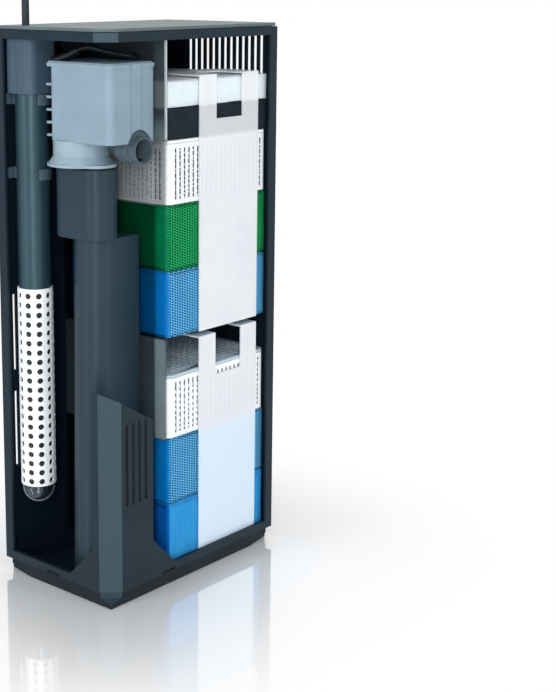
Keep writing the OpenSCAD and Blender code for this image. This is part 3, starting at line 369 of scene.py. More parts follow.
line = between(between([Vector(p) for p in route]))
line += [coil_point(i / TURN_POINTS) for i in range(1, TURN_POINTS * TURNS + 1)]
line += [coil_point(TURNS) + Vector((step, 0, 0)) for step in PLUG_LEAD]
line = [p / 1000 for p in line]

# %% Cable
cable_curve = bpy.data.curves.new("cable", "CURVE")
cable_curve.dimensions = "3D"
cable_curve.bevel_depth = CABLE / 2000
cable_curve.bevel_resolution = 4
cable_curve.use_fill_caps = True
spline = cable_curve.splines.new("POLY")
spline.points.add(len(line) - 1)
for point, place in zip(spline.points, line):
    point.co = (*place, 1)
cable = bpy.data.objects.new("cable", cable_curve)
scene.collection.objects.link(cable)
cable_curve.materials.append(rubber)
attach(cable, "tower")
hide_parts("pump_cable", "cable_coil")
plug = soften("mains_plug", 0.8, rubber)

# %% [markdown]
# ## Casing
# The casing is anthracite with a satin sheen. Little light gets inside, so the finish is painted darker away from
# the outer faces, as painted shade. The facet on the front corner is painted a little lighter, as a painted sheen.
# Chosen faces could have materials of their own. Here the depth below the outline is worked out from the
# coordinates, so no list of faces is needed.

# %% Casing finish
SLANT = 0.7071  # the depth below a corner facet, for each unit along one of its sides


def tank_plastic(name, node, chamfer, light, dark, facet_sheen):
    """Satin plastic painted almost black away from a node's outer faces as painted shade, with a corner facet
    painted lighter as a painted sheen.
    """
    low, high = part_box(node)
    material, tree, shader, place = start(name)
    axes = split(tree, place)
    left, right = calc(tree, "SUBTRACT", axes["X"], low.x), calc(tree, "SUBTRACT", high.x, axes["X"])
    front, back = calc(tree, "SUBTRACT", axes["Y"], low.y), calc(tree, "SUBTRACT", high.y, axes["Y"])
    corner = calc(tree, "SUBTRACT", calc(tree, "ADD", left, front), chamfer)
    depth = calc(tree, "MULTIPLY", corner, SLANT)
    for other in (left, right, front, back):
        depth = calc(tree, "MINIMUM", depth, other)
    # painted shade: the finish is painted almost black below the outer faces
    shaded_inside = span(tree, depth, 0.0008, 0.0022)
    cloud, fine = noise(tree, place, 18.0, 4.0), noise(tree, place, 900.0, 2.0)
    # painted sheen: the corner facet is painted lighter
    sheen_facet = calc(
        tree, "MULTIPLY", span(tree, corner, 0.0006, 0.0012, 1.0, 0.0),
        span(tree, calc(tree, "MINIMUM", left, front), 0.0001, 0.0006),
    )
    outer = blend(tree, span(tree, cloud, 0.35, 0.65), tint(dark), tint(light))
    outer = blend(tree, sheen_facet, outer, tint(facet_sheen))
    wire(tree, shader, {
        "Base Color": blend(tree, shaded_inside, outer, tint("#121c28")),
        "Roughness": span(tree, fine, 0.3, 0.7, 0.36, 0.48),
        "Specular IOR Level": 0.12,
    })
    relief(tree, shader, fine, 0.00004, 0.6)
    return material


# the last colour of each is the corner facet's painted sheen
casing_finish = tank_plastic("casing_plastic", "casing", 0.0125, "#212f38", "#1e2b34", "#384952")
base_finish = tank_plastic("base_plastic", "base_tray", 0.0116, "#1b242a", "#182026", "#30414a")
print("tank finishes:", casing_finish.name, base_finish.name)

# %% Mouldings
for node, width, material in (
    ("casing", 0.5, casing_finish), ("base_tray", 0.5, base_finish), ("lid", 0.6, lid_grey),
    ("riser_duct", 0.4, slate), ("pump_socket", 0.5, slate),
    ("pump_flange", 0.5, pale_grey), ("rotor_chamber", 0.5, pale_grey),
    ("pump_housing", 1.0, pump_grey), ("pump_cap", 0.4, pump_grey), ("outlet_nozzle", 0.4, nozzle_grey),
    ("heater_head", 1.6, head_grey), ("upper_clip", 0.3, clip_grey), ("lower_clip", 0.3, clip_grey),
):
    soften(node, width, material)

# %% [markdown]
# ## Foam
# Filter foam is an open net of thin struts. The fine grades are punched with rows of small holes, which show as
# dark dots in staggered columns; the coarse one is combed with fine upright grooves. The left side is painted a
# plainer, darker colour as painted shade, and the far end behind the post gets less light, so it is painted a
# little darker too, as painted shade. Holes in the mesh would need very many faces. The dots are worked out from
# the object coordinates instead: a cell number and the distance from the middle of its cell.

# %% Foam finish
FOAM_COLUMN = 0.0027
FOAM_ROW = 0.002


def foam(name, light, dark, side_shade_code, punched=True):
    """Foam with dark dots or with combed grooves."""
    first, last = (corner.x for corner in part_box("fine_sponge"))
    material, tree, shader, place = start(name)
    axes = split(tree, place)
    across = calc(tree, "DIVIDE", calc(tree, "ADD", axes["X"], axes["Y"]), FOAM_COLUMN)
    side = calc(tree, "SUBTRACT", calc(tree, "FRACT", across), 0.5)
    cells = add(tree, "ShaderNodeTexVoronoi", {"Vector": place, "Scale": 900.0}).outputs["Distance"]
    patch = noise(tree, place, 60.0, 3.0)
    if punched:
        column = calc(tree, "FLOOR", across)
        shifted = calc(tree, "MULTIPLY", calc(tree, "MODULO", calc(tree, "ABSOLUTE", column), 2.0), 0.5)
        up = calc(tree, "ADD", calc(tree, "DIVIDE", axes["Z"], FOAM_ROW), shifted)
        rise = calc(tree, "SUBTRACT", calc(tree, "FRACT", up), 0.5)
        wide = calc(tree, "POWER", calc(tree, "MULTIPLY", side, 2.9), 2.0)
        high = calc(tree, "POWER", calc(tree, "MULTIPLY", rise, 3.5), 2.0)
        reach = calc(tree, "SQRT", calc(tree, "ADD", wide, high))
        solid = span(tree, calc(tree, "ADD", reach, calc(tree, "MULTIPLY", patch, 0.3)), 1.12, 1.44)
    else:
        comb = calc(tree, "ADD", calc(tree, "ABSOLUTE", side), calc(tree, "MULTIPLY", patch, 0.5))
        solid = span(tree, comb, 0.15, 0.55, 0.5, 1.0)
    weave = calc(tree, "MULTIPLY", solid, span(tree, cells, 0.0, 0.7, 1.0, 0.8))
    # painted shade: the left side takes a plain, darker colour of its own
    smooth = blend(tree, patch, tint(side_shade_code, 0.8), tint(side_shade_code, 1.2))
    shaded_side = span(tree, axes["X"], first + 0.0012, first + 0.0022, 1.0, 0.0)
    # painted shade: the far end behind the post is painted a little darker
    shaded_end = span(tree, axes["X"], last - 0.008, last - 0.005, 0.0, 0.25)
    colour = blend(tree, shaded_side, blend(tree, weave, tint(dark), tint(light)), smooth)
    wire(tree, shader, {
        "Base Color": blend(tree, shaded_end, colour, tint(dark)),
        "Roughness": 0.85,
        "Specular IOR Level": 0.0,
    })
    relief(tree, shader, weave, 0.0004, 0.5)
    return material


# the last colour of each foam is its left side's painted shade
blue_foam = foam("blue_foam", "#6cc8fc", "#021640", "#0478c8")
coarse_foam = foam("coarse_blue_foam", "#3ca2de", "#0b5ca8", "#045cb4", punched=False)
green_foam = foam("green_foam", "#2db368", "#01200f", "#00764a")
print("foam finishes:", blue_foam.name, coarse_foam.name, green_foam.name)

# %% [markdown]
# ## Floss and carbon felt
# The white pad is loose polyester floss, and the black one is felt loaded with carbon. Both are mats of fibres.
# Single hairs would be far too many, so noise stretched in two directions makes the fibres. Light goes some way
# into the floss, so it gets subsurface scattering as well.


# %% Fibre finish
def fibres(name, light, dark, depth):
    """A mat of long fibres that lie in two directions."""
    material, tree, shader, place = start(name)
    along = add(tree, "ShaderNodeMapping", {"Vector": place, "Scale": (120, 900, 900)}).outputs["Vector"]
    cross = add(tree, "ShaderNodeMapping", {"Vector": place, "Scale": (900, 140, 700)}).outputs["Vector"]
    mat = calc(tree, "MAXIMUM", noise(tree, along, 1.0, 3.0), noise(tree, cross, 1.0, 3.0))
    wire(tree, shader, {
        "Base Color": blend(tree, span(tree, mat, 0.4, 0.7), tint(dark), tint(light)),
        "Roughness": 0.9,
        "Specular IOR Level": 0.15,
    })
    relief(tree, shader, mat, depth, 0.7)
    return material


floss = fibres("white_floss", "#eaf4f9", "#dae7ef", 0.0004)
felt = fibres("carbon_felt", "#222c35", "#161d23", 0.0003)
wire(floss.node_tree, floss.node_tree.nodes["Principled BSDF"], {
    "Subsurface Weight": 0.5,
    "Subsurface Radius": (1.0, 1.0, 1.0),
    "Subsurface Scale": 0.012,
})
print("fibre finishes:", floss.name, felt.name)

# %% [markdown]
# ## Foam blocks and pads
# Each pad is cut a little smaller than its basket. It starts as a cube of that size, is subdivided so that it can
# give, has its edges rounded, and is then pushed about by a cloud texture, because cut foam is never quite flat.
# The floss also puffs up in the middle. A cloth simulation could do it too, but these pads are stiff and lie flat.

# %% Pads
PAD_SPARE = Vector((0.0004, 0.0004, 0.0001))
PAD_CUTS = 27
cloud_texture = bpy.data.textures.new("uneven", "CLOUDS")
cloud_texture.noise_scale = 0.012


def block(name, middle, sides):
    """A cube with that middle and those sides, with its place in its mesh."""
    bpy.ops.object.select_all(action="DESELECT")
    bpy.ops.mesh.primitive_cube_add(size=1, location=middle, scale=sides)
    piece = bpy.context.active_object
    piece.name = name
    bpy.ops.object.transform_apply(location=True, rotation=True, scale=True)
    return piece


def pad(name, node, material, edge=2.0, uneven=0.5, puff=0.0):
    """A soft pad in place of a node; its edge, unevenness and puff are in millimetres."""
    low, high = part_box(node)
    middle, half = (low + high) / 2, (high - low) / 2
    piece = block(name, middle, high - low - 2 * PAD_SPARE)
    bpy.ops.object.mode_set(mode="EDIT")
    bpy.ops.mesh.select_all(action="SELECT")
    bpy.ops.mesh.subdivide(number_cuts=PAD_CUTS)
    bpy.ops.object.mode_set(mode="OBJECT")
    for v in piece.data.vertices:
        if puff and v.co.z > middle.z:
            across = (1 - ((v.co.x - middle.x) / half.x) ** 4) * (1 - ((v.co.y - middle.y) / half.y) ** 4)
            v.co.z += puff / 1000 * across
    rounded = piece.modifiers.new("rounded", "BEVEL")
    rounded.width = edge / 1000
    rounded.segments = 3
    rounded.limit_method = "ANGLE"
    rounded.angle_limit = math.radians(60)
    bpy.ops.object.modifier_apply(modifier="rounded")
    wavy = piece.modifiers.new("wavy", "DISPLACE")
    wavy.texture = cloud_texture
    wavy.texture_coords = "GLOBAL"
    wavy.strength = uneven / 1000
    wavy.mid_level = 0.7
    bpy.ops.object.modifier_apply(modifier="wavy")
    bpy.ops.object.shade_smooth()
    cover(piece, material)
    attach(piece, nodes[node]["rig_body"])
    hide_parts(node)
    print(name, len(piece.data.polygons), "faces")


pad("coarse_foam_block", "coarse_sponge", coarse_foam, edge=2.5)
pad("fine_foam_block", "fine_sponge", blue_foam)
pad("blue_foam_block", "blue_sponge", blue_foam)
pad("green_foam_block", "green_sponge", green_foam)
pad("carbon_felt_pad", "carbon_pad", felt, edge=1.2, uneven=0.4)
pad("floss_layer", "floss_pad", floss, edge=2.5, uneven=0.8, puff=0.7)

# %% [markdown]
# ## Granules
# Both cartridges are filled with loose granules. A heap is modelled from one small rough stone, copied with its
# own turn and size over the top of a bed, and joined. A physics simulation could drop the stones, but only the
# top layer shows. The bed itself shows only through the narrow slots.


# %% Granule finish
def stony(name, light, dark, scale, level):
    """Pale and dark stones; level sets how many of them are dark."""
    material, tree, shader, place = start(name)
    tall = add(tree, "ShaderNodeMapping", {"Vector": place, "Scale": (1, 1, 0.55)}).outputs["Vector"]
    cells = add(tree, "ShaderNodeTexVoronoi", {"Vector": tall, "Scale": scale}).outputs["Color"]
    grey = add(tree, "ShaderNodeSeparateColor", {"Color": cells}).outputs[0]
    rough = noise(tree, place, 1500.0, 3.0)
    mixed = span(tree, calc(tree, "ADD", grey, calc(tree, "MULTIPLY", rough, 0.3)), level, level + 0.12)
    wire(tree, shader, {"Base Color": blend(tree, mixed, tint(dark), tint(light)), "Roughness": 0.7})
    relief(tree, shader, rough, 0.0002, 0.8)
    return material


grey_stones = stony("grey_granules", "#f6fafc", "#6c7c86", 420.0, 0.6)
pale_stones = stony("pale_granules", "#ffffff", "#07090b", 330.0, 0.95)
white_grains = stony("white_grains", "#fbfcfd", "#c9d0d4", 500.0, 0.3)
print("granule finishes:", grey_stones.name, pale_stones.name, white_grains.name)


# %% One stone and its copies
def rough_stone(radius, least, dice):
    """A small ball whose points are drawn in at random."""
    bpy.ops.object.select_all(action="DESELECT")
    bpy.ops.mesh.primitive_ico_sphere_add(subdivisions=1, radius=radius)
    stone = bpy.context.active_object
    for v in stone.data.vertices:
        v.co *= dice.uniform(least, 1.0)
    return stone


def copy_of(stone, name):
    """A copy with a mesh of its own."""
    copy = bpy.data.objects.new(name, stone.data.copy())
    scene.collection.objects.link(copy)
    return copy


def join(first, copies, stone):
    """Joins the copies to the first piece and removes the stone that they were made from."""
    bpy.data.objects.remove(stone)
    bpy.context.view_layer.update()
    only(first)
    for copy in copies:
        copy.select_set(True)
    bpy.ops.object.join()


# %% Granule beds
BED_SPARE = 0.001
BED_ROUND = 0.004
FULL_TURN = 6.28


def heap(name, node, material, size, count, seed):
    """A bed with loose stones on top, in place of a node."""
    low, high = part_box(node)
    middle = (low + high) / 2 - Vector((0, 0, size / 2))
    bed = block(name, middle, high - low - Vector((BED_SPARE, BED_SPARE, size)))
    bpy.ops.object.mode_set(mode="EDIT")
    bpy.ops.mesh.select_all(action="SELECT")
    bpy.ops.mesh.bevel(offset=BED_ROUND, segments=3, affect="EDGES")
    bpy.ops.object.mode_set(mode="OBJECT")
    dice = random.Random(seed)
    stone = rough_stone(size / 2, 0.75, dice)
    stones = []
    for _ in range(count):
        copy = copy_of(stone, name + "_stone")
        copy.location = (
            dice.uniform(low.x + size, high.x - size),
            dice.uniform(low.y + size, high.y - size),
            high.z - size * dice.uniform(0.5, 0.75),
        )
        copy.rotation_euler = [dice.uniform(0, FULL_TURN) for _ in range(3)]
        copy.scale = [dice.uniform(0.7, 1.0) for _ in range(3)]
        stones.append(copy)
    join(bed, stones, stone)
    cover(bed, material)
    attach(bed, nodes[node]["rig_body"])
    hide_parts(node)
    print(name, len(bed.data.polygons), "faces")


heap("grey_granule_bed", "lower_media", grey_stones, 0.005, 900, 11)
heap("pale_granule_bed", "upper_media", pale_stones, 0.005, 500, 12)

# %% [markdown]
# Granules also press into the slots of the cases. There they show as pale grains with dark gaps between them,
# which break the slots up into rows of short dashes. They are the same rough stone, made tall and narrow, one on
# top of the other in each slot, all the way round the case.

# %% Granules in the slots
SLOTS = 21
SLOT_WIDE = 0.0018
SLOT_EDGE = 0.0035
CASE_ROUND = 0.006
CASE_WALL = 0.0016


def slot_granules(name, case, material, longest, widest_gap, seed):
    """Rows of tall grains in all the slots of a case."""
    low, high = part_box(case)
    dice = random.Random(seed)
    stone = rough_stone(0.5, 0.85, dice)
    places = []
    for i in range(SLOTS):
        share = (i + 0.5) / SLOTS
        x = low.x + CASE_ROUND + share * (high.x - low.x - 2 * CASE_ROUND)
        y = low.y + CASE_ROUND + share * (high.y - low.y - 2 * CASE_ROUND)
        places += [(x, low.y + CASE_WALL / 2, True), (x, high.y - CASE_WALL / 2, True)]
        places += [(low.x + CASE_WALL / 2, y, False), (high.x - CASE_WALL / 2, y, False)]
    grains = []
    for x, y, faces_front in places:
        z = low.z + SLOT_EDGE + dice.uniform(0, widest_gap)
        while z < high.z - SLOT_EDGE - longest:
            tall = dice.uniform(0.5, 1.0) * longest
            grain = copy_of(stone, name + "_grain")
            grain.location = (x, y, z + tall / 2)
            grain.scale = (SLOT_WIDE, CASE_WALL, tall) if faces_front else (CASE_WALL, SLOT_WIDE, tall)
            grains.append(grain)
            z += tall + dice.uniform(0.2, 1.0) * widest_gap
    piece = grains[0]
    join(piece, grains, stone)
    bpy.ops.object.transform_apply(location=True, rotation=True, scale=True)
    piece.name = name
    cover(piece, material)
    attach(piece, nodes[case]["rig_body"])
    print(name, len(piece.data.polygons), "faces")


slot_granules("pale_slot_granules", "upper_cartridge", white_grains, 0.0022, 0.0036, 21)
slot_granules("grey_slot_granules", "lower_cartridge", white_grains, 0.0044, 0.0017, 22)

# %% [markdown]
# ## Cartridges
# A cartridge is a thin white case with rows of upright slots and a grid for a lid. Its CAD shape is right, so it
# only needs rounded edges and its plastic. The walls of the slots lie in shade, so the plastic is painted darker a
# hair below the outer face, as painted shade: its depth is worked out from the case's rounded outline.


# %% Case finish
def case_plastic(name, node, code, slot_shade_code):
    """Moulded plastic painted another colour below a node's rounded outline, as painted shade in the slots."""
    low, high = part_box(node)
    middle, half = (low + high) / 2, (high - low) / 2
    material = moulded(name, code, 0.36, mottle=0.03)
    tree = material.node_tree
    shader = tree.nodes["Principled BSDF"]
    outer = shader.inputs["Base Color"].links[0].from_socket
    axes = split(tree, next(n for n in tree.nodes if n.type == "TEX_COORD").outputs["Object"])
    beyond = []
    for axis, centre, reach in (("X", middle.x, half.x), ("Y", middle.y, half.y)):
        away = calc(tree, "ABSOLUTE", calc(tree, "SUBTRACT", axes[axis], centre))
        beyond.append(calc(tree, "SUBTRACT", away, reach - CASE_ROUND))
    squares = [calc(tree, "POWER", calc(tree, "MAXIMUM", b, 0.0), 2.0) for b in beyond]
    corner = calc(tree, "SQRT", calc(tree, "ADD", *squares))
    flat = calc(tree, "MINIMUM", calc(tree, "MAXIMUM", *beyond), 0.0)
    depth = calc(tree, "SUBTRACT", CASE_ROUND, calc(tree, "ADD", corner, flat))
    # painted shade: the slot walls are painted darker below the outer face
    shaded_inside = span(tree, depth, 0.0003, 0.0007)
    wire(tree, shader, {"Base Color": blend(tree, shaded_inside, outer, tint(slot_shade_code))})
    return material


# %% Cartridges
# the last colour of each case is the painted shade in its slots
for node, material in (
    ("upper_cartridge", case_plastic("white_case_plastic", "upper_cartridge", "#eef1f3", "#14191c")),
    ("upper_cartridge_lid", white_plastic),
    ("lower_cartridge", case_plastic("grey_case_plastic", "lower_cartridge", "#f4f7f8", "#56626a")),
    ("lower_cartridge_lid", grey_lid),
):
    soften(node, 0.3, material)

# %% [markdown]
# ## Clear baskets
# The baskets are clear plastic, so from the front they hardly show: a faint streaky film, which is denser where a
# wall is seen edge on. Alpha does this better than refraction here: the walls are thin, so they do not bend what
# is behind them.

# %% Clear baskets
film, tree, shader, place = start("clear_basket_plastic")
streak = noise(tree, place, 40.0, 3.0)
facing = add(tree, "ShaderNodeLayerWeight", {"Blend": 0.3}).outputs["Facing"]
veil = calc(tree, "ADD", calc(tree, "MULTIPLY", streak, 0.012), span(tree, facing, 0.8, 1.0, 0.0, 0.35))
wire(tree, shader, {
    "Base Color": tint("#46606c"),
    "Alpha": veil,
    "Roughness": span(tree, streak, 0.3, 0.7, 0.4, 0.5),
    "Specular IOR Level": 0.0,
})
for node in ("upper_basket", "lower_basket"):
    cover(nodes[node], film)
    print(node, "in", film.name)

# %% [markdown]
# ## Smoky partition
# A smoky wall parts the pump's side from the baskets. Beside each layer its grey and its density are painted
# shade, the shade on the sides of the layers behind it: hazy beside the cartridges and above the media, and only
# dark beside the foam. It is painted clearer and lighter close to its front edge, as painted light, and that edge
# has a painted highlight. Separate plates would show their joins, so one material changes with the height. The
# heights of its bands are read from the layers themselves.

# %% Bands of the partition
carbon_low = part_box("carbon_pad")[0].z
floss_low, floss_top = (corner.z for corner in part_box("floss_pad"))
granule_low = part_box("upper_cartridge")[0].z
foam_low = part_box("blue_sponge")[0].z
granule_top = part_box("lower_cartridge_lid")[1].z
fine_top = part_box("fine_sponge")[1].z
carbon_middle = carbon_low + 0.55 * (floss_low - carbon_low)
SMOKE, SMOKE_FAR, SMOKE_NEAR = "#04070a", 0.3, 0.08
# A band of painted shade starts at a height, within a run on either side. It has a colour far from the front edge
# and one near it, and then its density far from the edge and near it; all of them are painted light and shade.
shade_bands = (
    (fine_top, 0.001, "#2f3b41", "#748489", 0.82, 0.66),
    (granule_top, 0.001, "#2b343a", "#6b7c80", 0.85, 0.75),
    (foam_low, 0.001, SMOKE, SMOKE, SMOKE_FAR, SMOKE_NEAR),
    (granule_low, 0.001, "#9a9ea0", "#5a5f62", 0.35, 0.3),
    (carbon_low, 0.001, "#5d696b", "#6c7a7c", 0.8, 0.75),
    (carbon_middle, 0.009, "#2a3236", "#3b4549", 0.8, 0.78),
    (floss_low, 0.001, "#535a5c", "#686f71", 0.78, 0.72),
    (floss_top, 0.001, "#353e43", "#3f484d", 0.85, 0.85),
)
print("partition bands:", len(shade_bands))

# %% Smoky partition
EDGE_RUN = 0.004
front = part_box("partition")[0].y
shade_wall_finish, tree, shader, place = start("partition_painted_shade")
axes = split(tree, place)
# painted light: the wall is painted clearer and lighter near its front edge, where the layers behind are lit
lit_near_front = span(tree, axes["Y"], front + 0.010, front + 0.0135, 1.0, 0.0)
edge = span(tree, axes["Y"], front + 0.0012, front + 0.002, 1.0, 0.0)
streak = noise(tree, place, 40.0, 3.0)
colour, density = tint(SMOKE), span(tree, lit_near_front, 0.0, 1.0, SMOKE_FAR, SMOKE_NEAR)
# painted shade: each band sets the grey and the density beside one layer
for height, reach, far_code, near_code, far_share, near_share in shade_bands:
    above = past(tree, axes["Z"], height, reach)
    colour = blend(tree, above, colour, blend(tree, lit_near_front, tint(far_code), tint(near_code)))
    wanted = span(tree, lit_near_front, 0.0, 1.0, far_share, near_share)
    density = calc(tree, "ADD", density, calc(tree, "MULTIPLY", above, calc(tree, "SUBTRACT", wanted, density)))
# painted highlight: the front edge is painted brighter and less clear
edge_highlight_alpha = calc(
    tree, "ADD", past(tree, axes["Z"], granule_top, EDGE_RUN, 0.02, 0.08),
    past(tree, axes["Z"], carbon_low, EDGE_RUN, 0.0, 0.6),
)
upper = past(tree, axes["Z"], carbon_low, EDGE_RUN)
painted_edge_highlight = blend(tree, upper, tint("#5d8792"), tint("#cfd8dc"))
clear = calc(tree, "MULTIPLY", density, span(tree, streak, 0.3, 0.7, 0.97, 1.03))
wire(tree, shader, {
    "Base Color": blend(tree, edge, colour, painted_edge_highlight),
    "Alpha": calc(tree, "ADD", clear, calc(tree, "MULTIPLY", edge, calc(tree, "SUBTRACT", edge_highlight_alpha, clear))),
    "Roughness": span(tree, streak, 0.3, 0.7, 0.42, 0.5),
    "Specular IOR Level": 0.0,
})
soften("partition", 0.2, shade_wall_finish)

# %% [markdown]
# ## Milky handles
# Each basket's front panel and bridge are one moulding of milky plastic. It is almost opaque over the panel and
# thinner at the straps, so the dark pad shows through as grey. The glow of the blue foam behind is painted into
# the lower panel as a pale blue, the panel is painted whiter in front of the floss, and the bars of the cartridge
# behind are painted in faintly. Scattering inside so thin a wall would be slow to render and look the same, so the
# colour and the alpha change with the height instead.

# %% Milky handles
BELOW_ALL = -1.0
ABOVE_ALL = 1.0
BAR_WAVES = 1160.0


def milky_plastic(name, cartridge, clear_above, painted_white_above, painted_blue_below):
    """Milky plastic that changes at three heights, with the painted light of what lies behind and painted faint
    bars of a cartridge.
    """
    low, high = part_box(cartridge)
    material, tree, shader, place = start(name)
    axes = split(tree, place)
    cloud = noise(tree, place, 30.0, 4.0)
    over = calc(
        tree, "MULTIPLY", span(tree, axes["Z"], low.z, low.z + 0.006),
        span(tree, axes["Z"], high.z - 0.006, high.z, 1.0, 0.0),
    )
    # painted light: the bars of the cartridge behind are painted in faintly
    painted_bars = calc(tree, "MULTIPLY", calc(tree, "SINE", calc(tree, "MULTIPLY", axes["X"], BAR_WAVES)), over)
    shade = calc(tree, "ADD", calc(tree, "MULTIPLY", cloud, 0.5), calc(tree, "MULTIPLY", painted_bars, 0.09))
    milk = blend(tree, span(tree, shade, 0.0, 0.5), tint("#dddfe4"), tint("#e9eaee"))
    # painted light: the panel is painted whiter in front of the floss
    milk = blend(tree, past(tree, axes["Z"], painted_white_above, 0.001), milk, tint("#fbfdff"))
    # painted light: the blue foam's glow is painted into the lower panel
    below = past(tree, axes["Z"], painted_blue_below, 0.008, 1.0, 0.0)
    above = past(tree, axes["Z"], clear_above, 0.002)
    wire(tree, shader, {
        "Base Color": blend(tree, below, milk, tint("#d6e8f6")),
        "Alpha": calc(tree, "SUBTRACT", 0.97, calc(tree, "MULTIPLY", above, 0.27)),
        "Roughness": span(tree, cloud, 0.3, 0.7, 0.3, 0.38),
    })
    return material


upper_milky = milky_plastic("upper_milky_plastic", "upper_cartridge", carbon_low, floss_low, BELOW_ALL)
lower_milky = milky_plastic("lower_milky_plastic", "lower_cartridge", ABOVE_ALL, ABOVE_ALL, fine_top)
soften("upper_handle", 0.3, upper_milky)
soften("lower_handle", 0.3, lower_milky)

# %% [markdown]
# ## Heater glass
# The heater's tube is smoked glass, so the works inside show only faintly. Under its sleeve it is painted darkest,
# as painted shade, and its bare dome below the sleeve is clear, with a painted bright rim. Refracting glass would
# be noisy on such thin walls, so alpha and colour do it. The tube has a soft, slightly blue gloss, and only the
# dome has a clear coat.

# %% Heater glass
smoked, tree, shader, place = start("smoked_glass")
height = split(tree, place)["Z"]
streak = noise(tree, place, 30.0, 2.0)
sleeve_low, sleeve_top = (corner.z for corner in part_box("heater_sleeve"))
dome = span(tree, height, sleeve_low - 0.004, sleeve_low + 0.002, 1.0, 0.0)
shaded_under_sleeve = span(tree, height, sleeve_top - 0.001, sleeve_top + 0.0005, 1.0, 0.0)
body = blend(tree, streak, tint("#1e343d"), tint("#27424c"))
# painted shade: the glass is painted almost black under the sleeve
body = blend(tree, shaded_under_sleeve, body, tint("#070d11"))
rim = add(tree, "ShaderNodeLayerWeight", {"Blend": 0.4}).outputs["Facing"]
# painted highlight: the dome's rim is painted bright where it is seen edge on
dome_rim_highlight = blend(tree, span(tree, rim, 0.4, 0.8), tint("#1b2830"), tint("#e6f1f6"))
haze = span(tree, streak, 0.3, 0.7, 0.3, 0.36)
wire(tree, shader, {
    "Base Color": blend(tree, dome, body, dome_rim_highlight),
    "Roughness": calc(tree, "SUBTRACT", haze, calc(tree, "MULTIPLY", dome, 0.24)),
    "Alpha": span(tree, dome, 0.0, 1.0, 0.98, 0.85),
    "Coat Weight": dome,
    "Coat Roughness": 0.14,
    "Specular IOR Level": 0.8,
    "Specular Tint": tint("#b6ced8"),
})
cover(nodes["heater_glass"], smoked)
print("heater_glass in", smoked.name)

# %% [markdown]
# ## Metal inside the pump
# The stator, its winding and the plug's pins are hardly seen, but they are finished too: rolled steel sheets in a
# stack, copper wire wound in rows and drawn brass. Their rows are a sine along one axis, in the colour and as a
# bump, because modelled sheets and wires would never be seen one by one.


# %% Metals
def metal(name, code, axis, lines, gloss):
    """Worn metal with fine rows along one axis."""
    material, tree, shader, place = start(name)
    row = calc(tree, "SINE", calc(tree, "MULTIPLY", split(tree, place)[axis], lines))
    worn = noise(tree, place, 200.0, 3.0)
    both = calc(tree, "ADD", calc(tree, "MULTIPLY", row, 0.25), worn)
    wire(tree, shader, {
        "Base Color": blend(tree, span(tree, both, 0.2, 0.8), tint(code, 0.7), tint(code)),
        "Roughness": span(tree, worn, 0.3, 0.7, gloss, gloss + 0.12),
        "Metallic": 1.0,
    })
    relief(tree, shader, row, 0.0001, 0.5)
    return material


plain = {
    "stator_core": metal("laminated_steel", "#9a9da0", "Z", 9000.0, 0.35),
    "stator_coil": metal("copper_wire", "#b8683a", "Z", 12000.0, 0.3),
    "plug_pins": metal("drawn_brass", "#d0ab62", "X", 4000.0, 0.22),
    "impeller": rotor_dark,
    "impeller_shaft": ceramic,
    "heating_core": ceramic,
    "thermostat": rotor_dark,
    "temperature_spindle": spindle_dark,
    "heater_sleeve": sleeve_white,
    "cable_tie": rotor_dark,
    "cable_gland": rubber,
    "cable_grommet": rubber,
    "socket_seal": rubber,
    "heater_seal": rubber,
    "lower_bush": rubber,
    "upper_bush": rubber,
}
for node, material in plain.items():
    cover(nodes[node], material)
print("CAD nodes kept and finished:", len(plain))

# %% [markdown]
# ## Floor and light
# The photograph is a studio picture on white. Its glossy floor mirrors the tower close to the foot and fades to
# plain white farther away, so the floor's material changes with the distance from the base. A white world stands
# behind, and soft lamps light the tower. The lamps at its sides are tall, because an upright wall can only mirror
# what stands about as high as the eye.

# %% Floor
MIRROR_FADE = 0.2
bpy.ops.object.select_all(action="DESELECT")
bpy.ops.mesh.primitive_plane_add(size=30, location=(0, 0, -0.0004))
floor = bpy.context.active_object
floor.name = "floor"
floor_finish, tree, shader, place = start("pale_floor")
wire(tree, shader, {
    "Base Color": (0.97, 0.975, 0.98, 1),
    "Roughness": 0.06,
    "Specular IOR Level": 1.0,
    "IOR": 2.6,
})
low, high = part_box("base_tray")
axes = split(tree, place)
squares = []
for axis, least, most in (("X", low.x, high.x), ("Y", low.y, high.y)):
    away = calc(tree, "ABSOLUTE", calc(tree, "SUBTRACT", axes[axis], (least + most) / 2))
    beyond = calc(tree, "MAXIMUM", calc(tree, "SUBTRACT", away, (most - least) / 2), 0.0)
    squares.append(calc(tree, "POWER", beyond, 2.0))
from_foot = calc(tree, "SQRT", calc(tree, "ADD", *squares))
ray = add(tree, "ShaderNodeLightPath").outputs
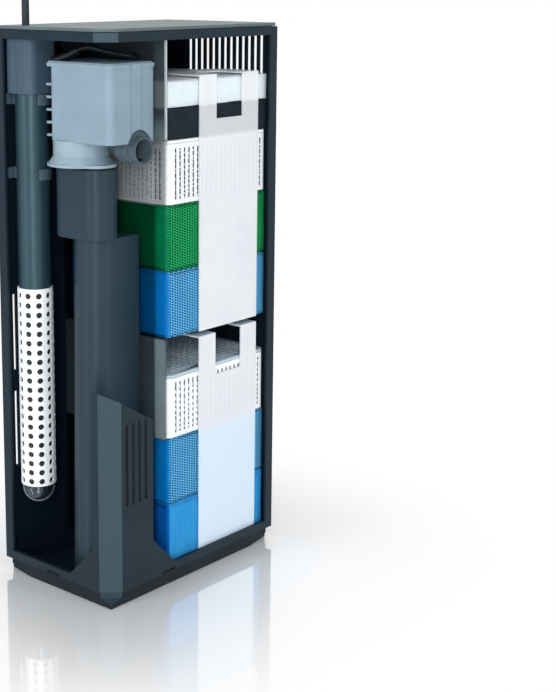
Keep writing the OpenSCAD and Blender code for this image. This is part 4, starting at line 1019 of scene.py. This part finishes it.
glow = add(tree, "ShaderNodeEmission", {"Color": (1, 1, 1, 1), "Strength": 1.0})
share = calc(tree, "MULTIPLY", ray["Is Camera Ray"], span(tree, from_foot, 0.0, MIRROR_FADE))
mixed = add(tree, "ShaderNodeMixShader", {0: share, 1: shader.outputs[0], 2: glow.outputs[0]})
wire(tree, tree.nodes["Material Output"], {"Surface": mixed.outputs[0]})
cover(floor, floor_finish)
print("floor mirrors within", MIRROR_FADE, "m of the base")

# %% World
world = bpy.data.worlds.new("studio")
scene.world = world
world.use_nodes = True
tree = world.node_tree
soft_light = tree.nodes["Background"]
wire(tree, soft_light, {"Color": (0.9, 0.95, 1.0, 1), "Strength": 0.4})
white = add(tree, "ShaderNodeBackground", {"Color": (1, 1, 1, 1), "Strength": 1.0})
ray = add(tree, "ShaderNodeLightPath").outputs
mirrored = calc(tree, "MAXIMUM", ray["Is Glossy Ray"], ray["Is Transmission Ray"])
seen = calc(tree, "MAXIMUM", ray["Is Camera Ray"], mirrored)
mixed = add(tree, "ShaderNodeMixShader", {0: seen, 1: soft_light.outputs[0], 2: white.outputs[0]})
wire(tree, tree.nodes["World Output"], {"Surface": mixed.outputs[0]})
print("world", world.name, "is white where it is seen")

# %% Lamps
LIT_POINT = Vector((0, 0, 0.22))


def lamp(name, place, power, wide, high):
    """An oblong soft lamp that looks at the tower."""
    aim = LIT_POINT - Vector(place)
    bpy.ops.object.light_add(type="AREA", location=place, rotation=aim.to_track_quat("-Z", "Y").to_euler())
    light = bpy.context.active_object
    light.name = name
    light.data.shape = "RECTANGLE"
    light.data.energy = power
    light.data.size = wide
    light.data.size_y = high
    print(name, power, "W")


lamp("corner_lamp", (-1.5, -1.25, 0.8), 19, 0.5, 1.4)
lamp("side_lamp", (-1.7, 0.3, 0.8), 9, 0.35, 1.4)
lamp("front_lamp", (0.5, -1.8, 0.8), 6, 0.8, 1.4)
lamp("top_lamp", (-0.3, -0.3, 2.0), 8, 1.5, 1.5)
lamp("back_lamp", (1.3, 1.1, 1.9), 8, 0.8, 0.8)
